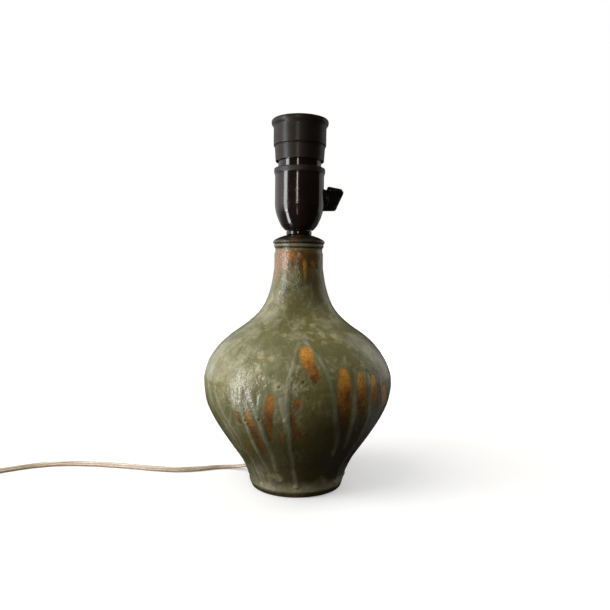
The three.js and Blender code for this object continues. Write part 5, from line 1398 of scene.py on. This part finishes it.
def makeKey(part, cap):
    low, _ = boxOf("holder_cap")
    spindle = low.z + cap["spindleRise"]
    start = cap["bossFace"] + part["gap"]
    end = start + part["hubWidth"]
    # hub: turned about X, then swung to where the spindle points
    axis, radius = part["axis"], part["hubRadius"]
    outline = rounded([(axis, start, 0), (radius, start, part["hubRound"]),
                       (radius, end - part["hubEdge"], 0.6),
                       (radius - part["hubFace"], end, 0.8), (axis, end, 0)], 5)
    hub = turnedPoints(outline, part["hubSides"])
    swing = Matrix.Rotation(math.radians(cap["keyTurn"]), 3, "Z")
    lift = Vector((0, 0, spindle))
    hubPoints = [swing @ Vector((z, y, -x)) + lift for x, y, z in hub.reshape(-1, 3)]
    piece = makePiece("key", hubPoints, gridFaces(part["hubSides"], len(outline)), "switch_rotor",
                      bakeliteGloss, "switch_key")
    # wing: a tapered plate with soft edges
    inner, outer, corner = end - part["edge"], part["reach"], part["corner"]
    wide, narrow, half = part["innerWidth"] / 2, part["outerWidth"] / 2, part["thickness"] / 2
    corners = rounded([(inner, -wide, corner), (outer, -narrow, corner),
                       (outer, narrow, corner), (inner, wide, corner)], 6)
    layers = [(down - half, inset) for down, inset in wingEdgeShares]
    layers += [(half - down, inset) for down, inset in wingEdgeShares[::-1]]
    centre = Vector(((inner + outer) / 2, 0))
    tilt = Matrix.Rotation(math.radians(90 + part["tilt"]), 3, "X")
    wing = []
    for depth, inset in layers:
        for x, y in corners:
            pull = (centre - Vector((x, y))).normalized() * inset * part["edge"]
            wing.append(swing @ (tilt @ Vector((x + pull.x, y + pull.y, depth))) + lift)
    combine(piece, addCutter(wing, tubeFaces(len(layers), len(corners))), "UNION")
    bore = barPoints(part["bore"], start - part["boreLead"], start + part["boreDepth"], part["boreSides"],
                     math.radians(cap["keyTurn"]), spindle)
    combine(piece, addCutter(*bore), "DIFFERENCE")
    softShade(piece.data, 32)


makeKey(key, cap)
print("switch key made")


# Carried nodes get their finishes

finishOfSlot = {"brass": brassSheet, "steel": zincSteel, "porcelain": porcelainWhite,
                "bakelite": bakeliteGloss, "clear_flex": clearFlex, "rubber": blackRubber,
                "plug": ivoryPlastic}
replacedNodes = {name for piece in bpy.data.objects for name in piece.get("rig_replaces", [])}
for subpart in frame["record"]["subparts"]:
    name = subpart["node"]
    if name in replacedNodes:
        continue
    mesh = frame["nodes"][name].data
    mesh.materials.clear()
    mesh.materials.append(finishOfSlot[subpart["material_slot"]])
    softShade(mesh, 32)
print("carried nodes finished")


# Floor, light and background

room = {
    "floorSize": 8.0, "floorDrop": 0.0003, "floorRoughness": 0.9, "floorBounce": 0.1, "floorSeen": 0.8,
    "floorMirrored": 0.02, "floorPolish": 0.3, "polishRoughness": 0.12,
    "floorGlow": (0.2, 0.9, 0.3, 1.0),
    "mirrorSide": (-0.8, 0.6, 0), "floorMirrorGlow": (0.1, 1.6, 0.0, 0.9),
    "skyTilt": (-0.42, -0.38, 0.82), "sky": (0.05, 1.0, 0.0, 0.55),
    "mirrorTilt": (-0.93, 0.35, -0.1), "mirror": (0.4, 1.0, 0.015, 0.95),
}
lamps = {
    "key": {"turn": -66, "height": 0.27, "reach": 0.62, "size": (0.19, 0.5), "power": 2.35,
            "tint": (0.95, 0.97, 1.0)},
    "sill": {"turn": -65, "height": 0.062, "reach": 0.38, "size": (0.08, 0.27), "power": 0.55,
             "tint": (0.95, 0.97, 1.0), "target": (0, 0, 0.9)},
    "narrow": {"turn": -9.4, "height": 0.42, "reach": 1.6, "size": (0.11, 0.62), "power": 2.4,
               "tint": (1.0, 0.94, 0.78)},
    "warm": {"turn": -88, "height": 0.26, "reach": 0.62, "size": (0.024, 0.16), "power": 0.03,
             "tint": (1.0, 0.55, 0.2)},
    "rim": {"turn": 128, "height": 0.35, "reach": 1.3, "size": (1.1, 0.9), "power": 1.5,
            "tint": (1.0, 0.99, 0.96)},
    "top": {"turn": -62, "height": 1.35, "reach": 1.2, "size": (1.7, 1.7), "power": 19.5,
            "tint": (1.0, 0.98, 0.92), "mirrored": False},
    "back": {"turn": 125, "height": 1.4, "reach": 1.3, "size": (1.4, 1.2), "power": 15,
             "tint": (1.0, 0.99, 0.97), "mirrored": False},
}
lampTarget = (0, 0, 0.16)


def addLamp(name, lamp):
    data = bpy.data.lights.new(name, "AREA")
    data.shape = "RECTANGLE"
    data.size, data.size_y = lamp["size"]
    data.energy = lamp["power"]
    data.color = lamp["tint"]
    light = addObject(name, data)
    turn = math.radians(lamp["turn"])
    light.location = (math.sin(turn) * lamp["reach"], -math.cos(turn) * lamp["reach"], lamp["height"])
    aim = Vector(lamp.get("target", lampTarget)) - light.location
    light.rotation_euler = aim.to_track_quat("-Z", "Y").to_euler()
    light.visible_camera = False
    light.visible_glossy = lamp.get("mirrored", True)


def vectorNode(tree, operation, vector):
    node = tree.nodes.new("ShaderNodeVectorMath")
    node.operation = operation
    wire(tree, vector, node.inputs[0])
    return node


def leaning(tree, vector, direction):
    # how far a direction leans to the given one, from -1 to 1
    dot = vectorNode(tree, "DOT_PRODUCT", vector)
    dot.inputs[1].default_value = Vector(direction).normalized()
    return dot.outputs["Value"]


def byRay(tree, path, seen, mirrored, otherwise):
    # one number for what the camera sees, one for mirrors and glass, one for light on the object
    def chosen(choice, first, second):
        node = tree.nodes.new("ShaderNodeMix")
        for index, value in zip(numberSockets, (choice, first, second)):
            feed(tree, value, node.inputs[index])
        return node.outputs[numberResult]
    reflecting = mathNode(tree, "MAXIMUM", path["Is Glossy Ray"], path["Is Transmission Ray"])
    return chosen(path["Is Camera Ray"], chosen(reflecting, otherwise, mirrored), seen)


def makeWorld(settings):
    world = bpy.data.worlds.new("studio")
    scene.world = world
    world.use_nodes = True
    tree = world.node_tree
    background = tree.nodes["Background"]
    path = tree.nodes.new("ShaderNodeLightPath").outputs
    direction = tree.nodes.new("ShaderNodeTexCoord").outputs["Generated"]
    sky = ranged(tree, leaning(tree, direction, settings["skyTilt"]), *settings["sky"])
    mirrored = ranged(tree, leaning(tree, direction, settings["mirrorTilt"]), *settings["mirror"])
    # only the first mirror image shows the room
    mirrored = product(tree, mirrored, mathNode(tree, "LESS_THAN", path["Glossy Depth"], 1.5))
    wire(tree, byRay(tree, path, 1.0, mirrored, sky), background.inputs["Strength"])
    background.inputs["Color"].default_value = (1, 1, 1, 1)


def makeFloor(settings):
    # white away from the lamp, with the lamp's own soft shadow near it
    half = settings["floorSize"] / 2
    mesh = bpy.data.meshes.new("floor")
    mesh.from_pydata([(x * half, y * half, -settings["floorDrop"]) for x, y in
                      ((-1, -1), (1, -1), (1, 1), (-1, 1))], [], [[0, 1, 2, 3]])
    floor = addObject("floor", mesh)
    material, tree, shader = newMaterial(
        "pale_floor", Roughness=settings["floorRoughness"], Specular_IOR_Level=0.0)
    path = tree.nodes.new("ShaderNodeLightPath").outputs

    def grey(name):
        return (settings[name], settings[name], settings[name], 1)

    tone = mixColour(tree, path["Is Glossy Ray"], grey("floorBounce"), grey("floorMirrored"))
    tone = mixColour(tree, path["Is Camera Ray"], tone, grey("floorSeen"))
    wire(tree, tone, shader.inputs["Base Color"])
    spot = place(tree)
    apart = vectorNode(tree, "LENGTH", spot).outputs["Value"]
    near = ranged(tree, apart, *settings["floorGlow"])
    mirrored = ranged(tree, leaning(tree, spot, settings["mirrorSide"]), *settings["floorMirrorGlow"])
    glow = tree.nodes.new("ShaderNodeEmission")
    wire(tree, byRay(tree, path, near, mirrored, 0.0), glow.inputs["Strength"])
    lit = tree.nodes.new("ShaderNodeAddShader")
    wire(tree, shader.outputs[0], lit.inputs[0])
    wire(tree, glow.outputs[0], lit.inputs[1])
    # mirrors see the floor partly polished, so that bright shapes go on in it
    polish = tree.nodes.new("ShaderNodeBsdfGlossy")
    polish.inputs["Roughness"].default_value = settings["polishRoughness"]
    blend = tree.nodes.new("ShaderNodeMixShader")
    wire(tree, product(tree, path["Is Glossy Ray"], settings["floorPolish"]), blend.inputs[0])
    wire(tree, lit.outputs[0], blend.inputs[1])
    wire(tree, polish.outputs[0], blend.inputs[2])
    wire(tree, blend.outputs[0], tree.nodes["Material Output"].inputs["Surface"])
    mesh.materials.append(material)


makeWorld(room)
makeFloor(room)
for name, lamp in lamps.items():
    addLamp(name + "_light", lamp)
print("floor and light set")
